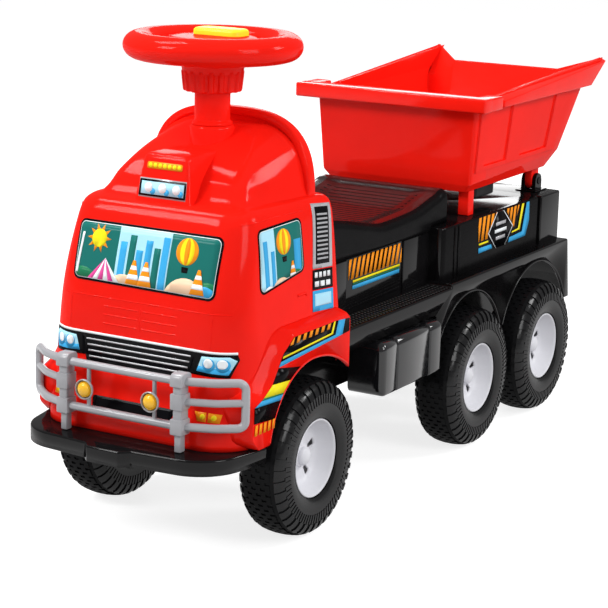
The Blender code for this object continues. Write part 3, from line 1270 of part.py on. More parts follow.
def build_column():
    """Sleeve and bush of the steering column, and the shaft with its crank."""
    centre = (0, COLUMN_Y, 0)
    sleeve_foot, sleeve_top = BOSS_TOP + GAP, COLLAR_FOOT - GAP
    sleeve = [
        (sleeve_foot, SLEEVE_RADIUS - WALL),
        (sleeve_foot, SLEEVE_RADIUS),
        (sleeve_top, SLEEVE_RADIUS),
        (sleeve_top, SLEEVE_RADIUS - WALL),
    ]
    solid("column_sleeve", turned(sleeve, "Z", 20, centre), RED, (0, COLUMN_Y, sleeve_foot))
    bush_foot, bush_top = BOSS_ROOT + SINK, BOSS_TOP - SINK
    bush = [
        (bush_foot, SHAFT_RADIUS + PLAY),
        (bush_foot, BUSH_RADIUS),
        (bush_top, BUSH_RADIUS),
        (bush_top, SHAFT_RADIUS + PLAY),
    ]
    solid("column_bush", turned(bush, "Z", 16, centre), NYLON)
    foot = BEAM_TOP + GAP
    shaft = solid("steering_shaft", shaft_bore(foot, SHAFT_TOP, SHAFT_RADIUS), STEEL, (0, COLUMN_Y, foot))
    end = COLUMN_Y + CRANK_ARM
    root_half, end_half = SHAFT_RADIUS + CRANK_CHEEK / 3, CRANK_PIN_RADIUS + CRANK_CHEEK
    front, rear = COLUMN_Y - SHAFT_RADIUS - CRANK_CHEEK, end + end_half
    corners = [(-root_half, front), (root_half, front), (end_half, rear), (-end_half, rear)]
    arm = rounded(corners, CRANK_PIN_RADIUS)
    join(shaft, "crank", prism(arm, "Z", foot + GAP, foot + CRANK_THICKNESS))
    join(shaft, "crank_pin", rod((0, end, TIE_ROD_FOOT), (0, end, foot + SINK), CRANK_PIN_RADIUS, 12))


def slot(x, y, radius, travel):
    """A hole that is longer towards the front, for a pin that swings on an arc."""
    turn_points = 5
    outline = []
    for k in range(turn_points):
        turn = math.pi * k / (turn_points - 1)
        outline.append((x + radius * math.cos(turn), y + radius * math.sin(turn)))
    for k in range(turn_points):
        turn = math.pi + math.pi * k / (turn_points - 1)
        outline.append((x + radius * math.cos(turn), y - travel + radius * math.sin(turn)))
    return prism(outline, "Z", TIE_ROD_FOOT - WALL, TIE_ROD_FOOT + TIE_ROD_THICKNESS + WALL)


def build_tie_rod():
    """A flat bar that the crank pushes sideways and that turns both knuckles."""
    half = KINGPIN_X + TIE_ROD_END
    corners = [(-half, TIE_ROD_FRONT), (half, TIE_ROD_FRONT), (half, TIE_ROD_REAR), (-half, TIE_ROD_REAR)]
    outline = rounded(corners, TIE_ROD_BACK * 0.75)
    bar = solid("tie_rod", prism(outline, "Z", TIE_ROD_FOOT, TIE_ROD_FOOT + TIE_ROD_THICKNESS), BLACK)
    swing = CRANK_ARM * (1 - math.cos(STEER_LIMIT)) + STEER_PLAY
    cut(bar, "crank_slot", slot(0, COLUMN_Y + CRANK_ARM, CRANK_PIN_RADIUS + STEER_PLAY, swing))
    swing = KNUCKLE_ARM * (1 - math.cos(STEER_LIMIT * STEER_RATIO)) + STEER_PLAY
    for side in (1, -1):
        cut(bar, f"arm_slot{side}", slot(side * KINGPIN_X, KNUCKLE_ARM, KINGPIN_RADIUS + STEER_PLAY, swing))


def build_front_beam():
    """The fixed front axle beam with a fork for each kingpin."""
    depth, eye, end = BEAM_HALF_DEPTH, KNUCKLE_EYE_RADIUS, KINGPIN_X - BEAM_INSET
    middle = block((-end, -depth, BEAM_FOOT), (end, depth, BEAM_TOP))
    beam = solid("front_axle_beam", middle, BLACK)
    plates = (("low", BEAM_FOOT, BEAM_FOOT + FORK_PLATE), ("high", BEAM_TOP - FORK_PLATE, BEAM_TOP))
    for side in (1, -1):
        for name, low, high in plates:
            outline = [(end - FORK_PLATE, -depth + GAP), (KINGPIN_X, -eye)]
            for k in range(1, 6):
                turn = -math.pi / 2 + math.pi * k / 6
                outline.append((KINGPIN_X + eye * math.cos(turn), eye * math.sin(turn)))
            outline += [(KINGPIN_X, eye), (end - FORK_PLATE, depth - GAP)]
            join(beam, f"fork_{name}{side}", prism(sided(outline, side), "Z", low, high))
        ends = [(side * KINGPIN_X, 0, z) for z in (BEAM_FOOT - WALL, BEAM_TOP + WALL)]
        cut(beam, f"kingpin_bore{side}", rod(*ends, KINGPIN_RADIUS + GAP, 12))


def build_knuckle(side, hand):
    """A steering knuckle on its kingpin, with its arm and stub axle."""
    x = side * KINGPIN_X
    pivot = (x, 0, WHEEL_RADIUS)
    low, high = WHEEL_RADIUS - KNUCKLE_HALF, WHEEL_RADIUS + KNUCKLE_HALF
    knuckle = solid(f"knuckle_{hand}", rod((x, 0, low), (x, 0, high), KNUCKLE_EYE_RADIUS, 12), BLACK, pivot)
    boss_end = HUB_END - GAP
    boss = rod((x, 0, WHEEL_RADIUS), (side * boss_end, 0, WHEEL_RADIUS), KNUCKLE_EYE_RADIUS - GAP, 12)
    join(knuckle, "stub_boss", boss)
    arm = rounded(
        [
            (x - ARM_HALF_WIDTH, 0),
            (x + ARM_HALF_WIDTH, 0),
            (x + ARM_HALF_WIDTH, KNUCKLE_ARM + ARM_HALF_WIDTH),
            (x - ARM_HALF_WIDTH, KNUCKLE_ARM + ARM_HALF_WIDTH),
        ],
        [0, 0, ARM_HALF_WIDTH * 0.75, ARM_HALF_WIDTH * 0.75],
    )
    join(knuckle, "arm", prism(arm, "Z", WHEEL_RADIUS - ARM_HALF_HEIGHT, ARM_TOP))
    pin_top = TIE_ROD_FOOT + TIE_ROD_THICKNESS + WALL
    ends = [(x, KNUCKLE_ARM, z) for z in (ARM_TOP - SINK, pin_top)]
    join(knuckle, "arm_pin", rod(*ends, KINGPIN_RADIUS, 12))
    bore = rod((x, 0, low - WALL), (x, 0, high + WALL), KINGPIN_RADIUS + PLAY, 12)
    cut(knuckle, "kingpin_bore", bore)
    start = KINGPIN_X + STUB_COVER
    ends = [(side * along, 0, WHEEL_RADIUS) for along in (start, boss_end + WALL)]
    cut(knuckle, "stub_bore", rod(*ends, AXLE_RADIUS + GAP, 12))
    ends = [(side * along, 0, WHEEL_RADIUS) for along in (start + GAP, AXLE_HALF_LENGTH)]
    stub = rod(*ends, AXLE_RADIUS, 12)
    solid(f"stub_axle_{hand}", stub, STEEL, pivot)
    pin = rod((x, 0, BEAM_FOOT), (x, 0, BEAM_TOP), KINGPIN_RADIUS, 12)
    solid(f"kingpin_{hand}", pin, STEEL, pivot)


def build_axles():
    """The two steel rods of the rear wheels."""
    for name, y in (("middle_axle", MIDDLE_AXLE), ("rear_axle", REAR_AXLE)):
        ends = [(x, y, WHEEL_RADIUS) for x in (-AXLE_HALF_LENGTH, AXLE_HALF_LENGTH)]
        solid(name, rod(*ends, AXLE_RADIUS, 12), STEEL, (0, y, WHEEL_RADIUS))


def tyre_mesh():
    """A hollow tyre round the X axis, open at its bore: tread, shoulders, bulging walls and beads."""
    half, skin, bore, top = TYRE_WIDTH / 2, TYRE_SKIN, RIM_RADIUS, WHEEL_RADIUS
    outside = [
        (half - TYRE_BULGE, bore),
        (half, bore + TYRE_BELLY),
        (half * 0.71, top - TYRE_CROWN),
        (half * 0.31, top),
    ]
    inside = [
        (half * 0.46, top - skin - SINK),
        (half - skin, bore + TYRE_BELLY),
        (half - TYRE_BULGE - skin, bore),
    ]
    profile = outside + [(-a, r) for a, r in reversed(outside)]
    profile += [(-a, r) for a, r in reversed(inside)] + inside
    return mesh_from(turned(profile, "X", WHEEL_STEPS), "tyre")


def hub_mesh():
    """A white dished hub round the X axis with a boss for the axle and slots in its disc."""
    rim = RIM_RADIUS - GAP
    disc, back = HUB_LIP - HUB_DISH_DEPTH, HUB_DISH_DEPTH
    bore = AXLE_RADIUS + PLAY
    floor = rim - HUB_DISH_TAPER
    profile = [
        (HUB_LIP, rim),
        (-back, rim),
        (-back, rim - HUB_SKIN),
        (HUB_LIP - 2 * HUB_SKIN, rim - HUB_SKIN),
        (disc - HUB_SKIN, floor + HUB_SKIN * 0.75),
        (disc - HUB_SKIN, HUB_BOSS_RADIUS),
        (-HUB_BOSS_INNER, HUB_BOSS_RADIUS),
        (-HUB_BOSS_INNER, bore),
        (disc, bore),
        (disc, floor),
        (HUB_LIP, rim - HUB_SKIN),
    ]
    hub = bpy.data.objects.new("hub", mesh_from(turned(profile, "X", WHEEL_STEPS), "hub"))
    CUTTERS.objects.link(hub)
    tools = []
    for k in range(HUB_SLOTS):
        turn = Matrix.Rotation(2 * math.pi * k / HUB_SLOTS, 4, "X")
        tall, wide = HUB_SLOT_SIZE[0] / 2, HUB_SLOT_SIZE[1] / 2
        middle = RIM_RADIUS - HUB_SLOT_INSET
        bm = block((disc - HUB_SKIN - WALL, -wide, middle - tall), (disc + WALL, wide, middle + tall))
        bmesh.ops.transform(bm, matrix=turn, verts=bm.verts)
        helper = bpy.data.objects.new("slot", mesh_from(bm, "slot"))
        CUTTERS.objects.link(helper)
        modifier = hub.modifiers.new("slot", "BOOLEAN")
        modifier.operation = "DIFFERENCE"
        modifier.solver = "EXACT"
        modifier.object = helper
        tools.append(helper)
    mesh = mesh_from(evaluated(hub), "hub")
    for helper in tools:
        bpy.data.objects.remove(helper, do_unlink=True)
    return mesh


def cap_mesh():
    """A domed cap on an axle's end, with a blind bore."""
    bore = AXLE_RADIUS + PLAY
    profile = [
        (CAP_BORE, 0),
        (CAP_BORE, bore),
        (0, bore),
        (0, CAP_RADIUS),
        (CAP_LENGTH / 2, CAP_RADIUS),
        (CAP_LENGTH * 0.85, CAP_RADIUS * 0.65),
        (CAP_LENGTH, 0),
    ]
    bm = turned(profile, "X", 8, (HUB_LIP - HUB_DISH_DEPTH + GAP, 0, 0), closed=False)
    return mesh_from(bm, "axle_cap")


def build_wheels():
    """Six wheels, each a tyre on a dished hub with a cap on the axle's end."""
    tyre, hub, cap = tyre_mesh(), hub_mesh(), cap_mesh()
    axles = (("front", 0.0), ("middle", MIDDLE_AXLE), ("rear", REAR_AXLE))
    pieces = (("tyre", tyre, TYRE_BLACK), ("hub", hub, WHITE), ("axle_cap", cap, STEEL))
    for row, y in axles:
        for side, hand in ((1, "left"), (-1, "right")):
            centre = bpy.data.objects.new(f"{row}_wheel_{hand}", None)
            centre.location = (side * WHEEL_X, y, WHEEL_RADIUS)
            centre.rotation_euler = (0, 0, 0 if side > 0 else math.pi)
            centre.parent = TRUCK
            PARTS.objects.link(centre)
            for kind, mesh, look in pieces:
                add_part(f"{row}_{kind}_{hand}", mesh.copy(), look, parent=centre)


def main():
    build_frame()
    build_cab()
    build_bumper()
    build_bull_bar()
    both(build_lamp_lens)
    build_rear_body()
    both(build_tank)
    build_seat()
    build_bed()
    both(build_hinge)
    both(build_stop_pad)
    build_steering_wheel()
    build_horn()
    build_column()
    build_tie_rod()
    build_front_beam()
    both(build_knuckle)
    build_axles()
    build_wheels()


main()
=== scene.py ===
"""Visible pieces and finishes of a ride-on toy dump truck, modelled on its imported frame.

Lengths are metres. X is the truck's left, Y runs from the front axle towards the tail and Z is up from the
ground. Pieces are drawn with Y measured from the front axle and moved onto the frame when they are finished.
"""

import functools
import json
import math

import bmesh
import bpy
from bpy.props import FloatProperty, FloatVectorProperty, IntProperty, PointerProperty
from bpy.types import Operator, Panel, PropertyGroup
from mathutils import Matrix, Vector


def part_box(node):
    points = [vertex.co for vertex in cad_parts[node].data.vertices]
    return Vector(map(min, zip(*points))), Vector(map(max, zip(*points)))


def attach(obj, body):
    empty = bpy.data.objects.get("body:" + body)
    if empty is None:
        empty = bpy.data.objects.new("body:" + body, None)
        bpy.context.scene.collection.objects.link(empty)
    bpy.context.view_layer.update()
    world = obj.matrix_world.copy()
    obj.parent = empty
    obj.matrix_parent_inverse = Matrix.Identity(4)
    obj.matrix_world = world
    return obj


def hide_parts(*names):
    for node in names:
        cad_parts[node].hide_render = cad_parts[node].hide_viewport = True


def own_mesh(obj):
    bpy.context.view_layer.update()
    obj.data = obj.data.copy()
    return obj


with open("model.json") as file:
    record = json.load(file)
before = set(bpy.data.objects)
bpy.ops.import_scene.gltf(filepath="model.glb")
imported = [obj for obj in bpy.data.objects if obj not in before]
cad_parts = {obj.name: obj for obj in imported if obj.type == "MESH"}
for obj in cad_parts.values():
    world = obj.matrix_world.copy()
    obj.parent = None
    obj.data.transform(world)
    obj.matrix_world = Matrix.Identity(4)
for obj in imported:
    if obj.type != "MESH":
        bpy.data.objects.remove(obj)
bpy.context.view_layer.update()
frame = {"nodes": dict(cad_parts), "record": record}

bl_info = {
    "name": "Toy dump truck finish",
    "version": (1, 0, 0),
    "blender": (4, 5, 0),
    "location": "View3D > Sidebar > Toy truck",
    "description": "Models the visible pieces of a ride-on toy dump truck on its packed frame",
    "category": "Object",
}

RECORD = frame["record"]
BODY_OF = {node: body for body, nodes in RECORD["behaviour"]["bodies"].items() for node in nodes}
SIDES = ((1, "left"), (-1, "right"))

# Places read from the frame
TYRE_LOW, TYRE_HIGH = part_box("front_tyre_left")
AXLE_Y = (TYRE_LOW.y + TYRE_HIGH.y) / 2
WHEEL_RADIUS = (TYRE_HIGH.z - TYRE_LOW.z) / 2
TYRE_HALF = (TYRE_HIGH.x - TYRE_LOW.x) / 2
WHEEL_X = (TYRE_HIGH.x + TYRE_LOW.x) / 2
BED_LOW, BED_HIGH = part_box("dump_bed")
HORN_LOW, HORN_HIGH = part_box("horn_button")
TANK_LOW, TANK_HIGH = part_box("fuel_tank_left")

# Cab outline: level, half width in front and behind, front, rear, corner radius in front and behind
CAB_ROWS = [
    (0.1128, 0.1175, 0.1165, -0.1350, 0.0790, 0.045, 0.012),
    (0.1320, 0.1180, 0.1165, -0.1330, 0.0790, 0.044, 0.012),
    (0.1500, 0.1170, 0.1160, -0.1270, 0.0785, 0.042, 0.012),
    (0.1900, 0.1145, 0.1150, -0.1216, 0.0765, 0.040, 0.012),
    (0.2450, 0.1085, 0.1120, -0.1165, 0.0735, 0.034, 0.012),
    (0.3130, 0.1000, 0.1085, -0.0990, 0.0690, 0.030, 0.013),
    (0.3270, 0.0955, 0.1060, -0.0935, 0.0670, 0.028, 0.013),
    (0.3335, 0.0880, 0.1010, -0.0860, 0.0620, 0.026, 0.013),
    (0.3350, 0.0825, 0.0930, -0.0760, 0.0450, 0.016, 0.010),
    (0.3560, 0.0720, 0.0885, -0.0555, 0.0440, 0.013, 0.010),
    (0.3760, 0.0600, 0.0835, -0.0290, 0.0435, 0.012, 0.010),
    (0.3890, 0.0500, 0.0770, -0.0010, 0.0430, 0.010, 0.010),
    (0.3985, 0.0380, 0.0680, 0.0180, 0.0425, 0.010, 0.009),
    (0.4004, 0.0340, 0.0640, 0.0225, 0.0400, 0.008, 0.007),
]
ARCH_RADIUS = 0.0815
ARCH_Z = 0.0995
ARCH_STRETCH = 1.23
REAR_SILL = 0.1580
FLARE_FACE = 0.1253
COLUMN_Y = 0.004


def middle_of(node):
    low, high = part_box(node)
    return (low + high) / 2


# Curves and outlines


def knot_slope(keys, line, k):
    """Slope at a knot: the harmonic mean of the slopes beside it, and none where the line turns back."""
    if k in (0, len(keys) - 1):
        a = min(max(k, 1), len(keys) - 1)
        return (line[a] - line[a - 1]) / (keys[a] - keys[a - 1])
    before = (line[k] - line[k - 1]) / (keys[k] - keys[k - 1])
    after = (line[k + 1] - line[k]) / (keys[k + 1] - keys[k])
    return 2 * before * after / (before + after) if before * after > 0 else 0.0


def eased(rows, key):
    """The values at a key, on a smooth line through rows of (key, value, ...) that never overshoots."""
    keys = [row[0] for row in rows]
    key = min(max(key, keys[0]), keys[-1])
    k = max(i for i in range(len(keys) - 1) if keys[i] <= key)
    width = keys[k + 1] - keys[k]
    t = (key - keys[k]) / width
    values = []
    for column in range(1, len(rows[0])):
        line = [row[column] for row in rows]
        start, end = knot_slope(keys, line, k) * width, knot_slope(keys, line, k + 1) * width
        rise = line[k + 1] - line[k]
        values.append(line[k] + t * (start + t * (3 * rise - 2 * start - end + t * (start + end - 2 * rise))))
    return values


def steps_between(low, high, pitch):
    count = max(1, round((high - low) / pitch))
    return [low + (high - low) * k / count for k in range(count + 1)]


def listed(value, count):
    return list(value) if isinstance(value, (list, tuple)) else [value] * count


def rounded(corners, radii, steps=5, runs=1, closed=True):
    """An outline with an arc at each corner; the straight runs are cut into equal lengths."""
    count = len(corners)
    corners = [Vector(corner) for corner in corners]
    radii, steps, runs = listed(radii, count), listed(steps, count), listed(runs, count)
    arcs = []
    for i, here in enumerate(corners):
        if radii[i] == 0 or (not closed and i in (0, count - 1)):
            arcs.append([here])
            continue
        before = (corners[i - 1] - here).normalized()
        after = (corners[(i + 1) % count] - here).normalized()
        half = before.angle(after) / 2
        centre = here + (before + after).normalized() * (radii[i] / math.sin(half))
        start = here + before * (radii[i] / math.tan(half)) - centre
        end = here + after * (radii[i] / math.tan(half)) - centre
        sweep = math.pi - 2 * half
        arc = []
        for k in range(steps[i] + 1):
            t = k / steps[i]
            arm = start * math.sin((1 - t) * sweep) + end * math.sin(t * sweep)
            arc.append(centre + arm / math.sin(sweep))
        arcs.append(arc)
    points = []
    for i, arc in enumerate(arcs):
        points += arc
        if closed or i < count - 1:
            following = arcs[(i + 1) % count][0]
            points += [arc[-1].lerp(following, k / runs[i]) for k in range(1, runs[i])]
    return points


def arc_points(centre, radius, start, end, steps):
    """Points on an arc in a plane, between two angles in degrees."""
    points = []
    for k in range(steps + 1):
        turn = math.radians(start + (end - start) * k / steps)
        points.append((centre[0] + radius * math.cos(turn), centre[1] + radius * math.sin(turn)))
    return points


def disc_outline(centre, radius, steps=28):
    return arc_points(centre, radius, 0, 360 * (steps - 1) / steps, steps - 1)


def inset_outline(corners, depth):
    """An anticlockwise outline moved inwards by a depth."""
    moved = []
    for i, here in enumerate(corners):
        here = Vector(here)
        arrive = (here - Vector(corners[i - 1])).normalized()
        leave = (Vector(corners[(i + 1) % len(corners)]) - here).normalized()
        normal_a, normal_b = Vector((-arrive.y, arrive.x)), Vector((-leave.y, leave.x))
        moved.append(here + (normal_a + normal_b) * (depth / (1 + normal_a.dot(normal_b))))
    return moved


def mirrored(half):
    """A half outline on the +X side, closed by its mirror image."""
    return [*half, *[(-x, *rest) for x, *rest in reversed(half)]]


# Shapes


def ring_edges(bm, points, closed=True):
    verts = [bm.verts.new(point) for point in points]
    edges = [bm.edges.new(pair) for pair in zip(verts, verts[1:])]
    if closed:
        edges.append(bm.edges.new((verts[-1], verts[0])))
    return edges


def loft(rings, closed=True, caps=(True, True)):
    """A skin bridged from ring to ring, with its ends filled where asked."""
    bm = bmesh.new()
    rows = [ring_edges(bm, ring, closed) for ring in rings]
    for low, high in zip(rows, rows[1:]):
        bmesh.ops.bridge_loops(bm, edges=low + high)
    for wanted, row in zip(caps, (rows[0], rows[-1])):
        if wanted:
            bmesh.ops.contextual_create(bm, geom=row)
    bmesh.ops.recalc_face_normals(bm, faces=bm.faces)
    return bm


def plane_point(axis, u, v, at):
    return {"X": (at, u, v), "Y": (u, at, v), "Z": (u, v, at)}[axis]


def plate(outline, axis, low, high, bevel=0.0, segments=3):
    """A flat outline pushed out along an axis, with both of its faces' edges rounded."""
    bm = bmesh.new()
    face = bm.faces.new([bm.verts.new(plane_point(axis, *p, low)) for p in outline])
    grown = bmesh.ops.extrude_face_region(bm, geom=[face], use_keep_orig=True)["geom"]
    verts = [item for item in grown if isinstance(item, bmesh.types.BMVert)]
    bmesh.ops.translate(bm, verts=verts, vec=plane_point(axis, 0, 0, high - low))
    bmesh.ops.recalc_face_normals(bm, faces=bm.faces)
    if bevel:
        index = "XYZ".index(axis)
        rims = [e for e in bm.edges if abs(e.verts[0].co[index] - e.verts[1].co[index]) < 1e-7]
        round_edges(bm, rims, bevel, segments)
    return bm


def round_edges(bm, edges, width, segments=3):
    bmesh.ops.bevel(
        bm, geom=edges, offset=width, offset_type="OFFSET", segments=segments, profile=0.5, affect="EDGES",
        clamp_overlap=True, material=-1,
    )


def block(low, high, bevel=0.0, segments=3):
    """A box between two corners with rounded edges."""
    low, high = Vector(low), Vector(high)
    bm = bmesh.new()
    bmesh.ops.create_cube(bm, size=1)
    size = Matrix.Diagonal((*(high - low), 1))
    bmesh.ops.transform(bm, matrix=Matrix.Translation((low + high) / 2) @ size, verts=bm.verts)
    if bevel:
        round_edges(bm, bm.edges[:], bevel, segments)
    return bm


def turned(profile, axis, steps, centre=(0, 0, 0), closed=True):
    """A profile of (along, radius) points spun round an axis."""
    along = {"X": Vector((1, 0, 0)), "Y": Vector((0, 1, 0)), "Z": Vector((0, 0, 1))}[axis]
    out = Vector((1, 0, 0)) if axis == "Z" else Vector((0, 0, 1))
    bm = bmesh.new()
    ring_edges(bm, [along * a + out * r for a, r in profile], closed)
    bmesh.ops.spin(
        bm, geom=bm.verts[:] + bm.edges[:], cent=(0, 0, 0), axis=along, dvec=(0, 0, 0),
        angle=2 * math.pi, steps=steps, use_merge=True, use_duplicate=False,
    )
    bmesh.ops.remove_doubles(bm, verts=bm.verts, dist=1e-6)
    bmesh.ops.recalc_face_normals(bm, faces=bm.faces)
    bmesh.ops.translate(bm, verts=bm.verts, vec=Vector(centre))
    return bm


def sweep(path, section, side=None, closed=True):
    """A section of (out, across) points carried along a path; a fixed side keeps it from turning."""
    path = [Vector(point) for point in path]
    rings = []
    across = Vector(side) if side else None
    for i, point in enumerate(path):
        tangent = (path[min(i + 1, len(path) - 1)] - path[max(i - 1, 0)]).normalized()
        if across is None:
            across = tangent.orthogonal().normalized()
        if side is None:
            across = (across - tangent * across.dot(tangent)).normalized()
        out = across.cross(tangent).normalized()
        rings.append([point + out * a + across * b for a, b in section])
    return loft(rings, closed)


def tube(path, radius, sides=14):
    return sweep(path, disc_outline((0, 0), radius, sides))


def join(*shapes):
    """Several shapes in one, each closed in itself."""
    whole = shapes[0]
    for shape in shapes[1:]:
        mesh = bpy.data.meshes.new("shape")
        shape.to_mesh(mesh)
        shape.free()
        whole.from_mesh(mesh)
        bpy.data.meshes.remove(mesh)
    return whole


def both_sides(bm):
    """A shape on the left joined by its mirror image."""
    other = bm.copy()
    bmesh.ops.scale(other, vec=(-1, 1, 1), verts=other.verts)
    bmesh.ops.reverse_faces(other, faces=other.faces)
    return join(bm, other)


def bead(places, width, height):
    """A half-round raised line through (point, outward normal) places."""
    rings = []
    for i, (point, normal) in enumerate(places):
        ahead, behind = places[min(i + 1, len(places) - 1)][0], places[max(i - 1, 0)][0]
        across = (ahead - behind).cross(normal).normalized()
        section = [(-0.5, -0.5), (-0.4, 0.45), (-0.18, 0.9), (0.18, 0.9), (0.4, 0.45), (0.5, -0.5)]
        rings.append([point + across * (a * width) + normal * (h * height) for a, h in section])
    return loft(rings)


# Pieces


def piece(name, bm, node, *finishes, sharp=38, replaces=False, on_frame=False):
    """A finished shape that rides with a node's body, and hides that node when it replaces it."""
    if not on_frame:
        bmesh.ops.translate(bm, verts=bm.verts, vec=(0, AXLE_Y, 0))
    mesh = bpy.data.meshes.new(name)
    bm.to_mesh(mesh)
    bm.free()
    for finish in finishes:
        mesh.materials.append(finish)
    mesh.shade_smooth()
    mesh.set_sharp_from_angle(angle=math.radians(sharp))
    obj = bpy.data.objects.new(name, mesh)
    bpy.context.scene.collection.objects.link(obj)
    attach(obj, BODY_OF[node])
    if replaces:
        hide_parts(node)
    return obj


def add_wall(obj, thickness, inner_finish=0):
    """Gives an open skin its wall, inwards."""
    wall = obj.modifiers.new("wall", "SOLIDIFY")
    wall.thickness = thickness
    wall.offset = -1
    wall.use_even_offset = True
    wall.use_quality_normals = True
    wall.material_offset = inner_finish
    return wall


def add_edges(obj, width, angle=50, segments=2):
    """Rounds the sharp edges of a finished piece."""
    edges = obj.modifiers.new("edges", "BEVEL")
    edges.width = width
    edges.segments = segments
    edges.limit_method = "ANGLE"
    edges.angle_limit = math.radians(angle)
    edges.use_clamp_overlap = False
    edges.harden_normals = True
    return edges


def dressed(name, node, finish, width):
    """A node's own shape with its edges rounded."""
    bm = bmesh.new()
    bm.from_mesh(frame["nodes"][node].data)
    bmesh.ops.remove_doubles(bm, verts=bm.verts, dist=1e-5)
    bmesh.ops.dissolve_limit(bm, angle_limit=math.radians(1.5), verts=bm.verts, edges=bm.edges)
    obj = piece(name, bm, node, finish, sharp=34, replaces=True, on_frame=True)
    add_edges(obj, width, 34)
    return obj


# Finishes


def shade(colour, share):
    return (*[min(1.0, max(0.0, c * share)) for c in colour], 1)


def moulded(name, colour, roughness, tone=0.05, grain=0.02, specular=0.0, coat=0.1, metallic=0.0):
    """Moulded plastic: drifting tone, uneven gloss with faint scuffs, and a fine grain."""
    made = bpy.data.materials.new(name)
    made.use_nodes = True
    nodes, links = made.node_tree.nodes, made.node_tree.links
    shader = nodes["Principled BSDF"]
    shader.inputs["Metallic"].default_value = metallic
    shader.inputs["Specular IOR Level"].default_value = specular
    shader.inputs["Coat Weight"].default_value = coat
    place = nodes.new("ShaderNodeTexCoord")

    def noise(scale, detail, stretch=(1, 1, 1)):
        turn = nodes.new("ShaderNodeMapping")
        turn.inputs["Scale"].default_value = stretch
        links.new(place.outputs["Object"], turn.inputs["Vector"])
        texture = nodes.new("ShaderNodeTexNoise")
        texture.inputs["Scale"].default_value = scale
        texture.inputs["Detail"].default_value = detail
        links.new(turn.outputs["Vector"], texture.inputs["Vector"])
        return texture.outputs["Fac"]

    ramp = nodes.new("ShaderNodeValToRGB")
    ramp.color_ramp.elements[0].position = 0.30
    ramp.color_ramp.elements[1].position = 0.70
    ramp.color_ramp.elements[0].color = shade(colour, 1 - tone)
    ramp.color_ramp.elements[1].color = shade(colour, 1 + tone)
    links.new(noise(14, 4), ramp.inputs["Fac"])
    links.new(ramp.outputs["Color"], shader.inputs["Base Color"])
    gloss = nodes.new("ShaderNodeMapRange")
    gloss.inputs["From Min"].default_value = 0.35
    gloss.inputs["From Max"].default_value = 0.75
    gloss.inputs["To Min"].default_value = roughness * 0.85
    gloss.inputs["To Max"].default_value = roughness * 1.35
    links.new(noise(60, 6, (1, 1, 3)), gloss.inputs["Value"])
    links.new(gloss.outputs["Result"], shader.inputs["Roughness"])
    links.new(gloss.outputs["Result"], shader.inputs["Coat Roughness"])
    bump = nodes.new("ShaderNodeBump")
    bump.inputs["Strength"].default_value = grain
    bump.inputs["Distance"].default_value = 0.0006
    links.new(noise(420, 3), bump.inputs["Height"])
    links.new(bump.outputs["Normal"], shader.inputs["Normal"])
    return made


class Finishes:
    """The truck's finishes, made once from the paint colours."""

    made = {}

    @classmethod
    def get(cls, name):
        if name not in cls.made:
            paint = bpy.context.scene.truck_paint
            kind = dict(FINISH_KINDS.get(name, {"roughness": 0.16, "coat": 0.12, "grain": 0.01}))
            colour = tuple(getattr(paint, kind.pop("paint", name)))
            cls.made[name] = moulded(f"{name}_finish", colour, **kind)
        return cls.made[name]


FINISH_KINDS = {
    "red": {"roughness": 0.08, "coat": 0.14, "grain": 0.012},
    "black": {"roughness": 0.09, "tone": 0.25, "coat": 0.36},
    "tank": {"roughness": 0.10, "tone": 0.2, "coat": 1.0},
    "rim": {"paint": "red", "roughness": 0.09, "coat": 0.36, "grain": 0.012},
    "box": {"paint": "black", "roughness": 0.10, "tone": 0.25, "coat": 0.40},
    "stud": {"paint": "black", "roughness": 0.34, "tone": 0.25, "coat": 1.0},
    # inner is painted shade: the inside faces of the cab and flares are coloured near black for the shade in them,
    # though the moulding is red all through
    "inner": {"roughness": 0.6, "tone": 0.2, "coat": 0.05},
    # seat is black, its own colour, with a red tint that is painted reflection of the red bed in the saddle's top
    "seat": {"roughness": 0.16, "tone": 0.2, "coat": 0.80, "grain": 0.04},
    "seat_side": {"paint": "black", "roughness": 0.26, "tone": 0.2, "coat": 0.10, "grain": 0.03},
    "grey": {"roughness": 0.20, "tone": 0.06, "coat": 0.8, "grain": 0.03},
    "white": {"roughness": 0.24, "tone": 0.02, "coat": 0.3},
    "amber": {"roughness": 0.12, "tone": 0.12, "coat": 0.6},
    "yellow": {"roughness": 0.18, "coat": 0.25},
    "tyre": {"roughness": 0.24, "tone": 0.25, "coat": 0.12, "grain": 0.08},
    "tyre_side": {"paint": "tyre", "roughness": 0.20, "tone": 0.25, "coat": 0.46, "grain": 0.08},
    "nylon": {"roughness": 0.40, "tone": 0.15, "coat": 0.2},
    "steel": {"roughness": 0.28, "tone": 0.06, "metallic": 1.0},
    "silver": {"roughness": 0.24, "tone": 0.06, "metallic": 0.2, "coat": 0.3},
    "ink": {"roughness": 0.14, "tone": 0.2, "coat": 0.15, "grain": 0.01},
}


# Surfaces that prints are laid on


@functools.lru_cache(maxsize=None)
def cab_ring(level):
    """The cab's outline at a level, as (x, y) points that run from the left front corner backwards."""
    front_half, rear_half, front, rear, front_radius, rear_radius = eased(CAB_ROWS, level)
    corners = [(front_half, front), (rear_half, rear), (-rear_half, rear), (-front_half, front)]
    radii = [front_radius, rear_radius, rear_radius, front_radius]
    return rounded(corners, radii, [14, 6, 6, 14], [18, 12, 18, 24])


def crossing(points, axis, value):
    """Where a line of points passes a value of one coordinate: the other coordinate there."""
    for a, b in zip(points, points[1:]):
        low, high = sorted((a[axis], b[axis]))
        if low <= value <= high and high - low > 1e-9:
            return a.lerp(b, (value - a[axis]) / (b[axis] - a[axis]))[1 - axis]
    nearest = min(points, key=lambda p: abs(p[axis] - value))
    return nearest[1 - axis]


def cab_front(x, z):
    ring = cab_ring(round(z, 5))
    arc = ring[:15][::-1]
    return Vector((x, crossing([Vector((0, arc[-1].y)), *arc[::-1]], 0, abs(x)), z))


def cab_side(y, z):
    ring = cab_ring(round(z, 5))
    return Vector((crossing(ring[:40], 1, y), y, z))


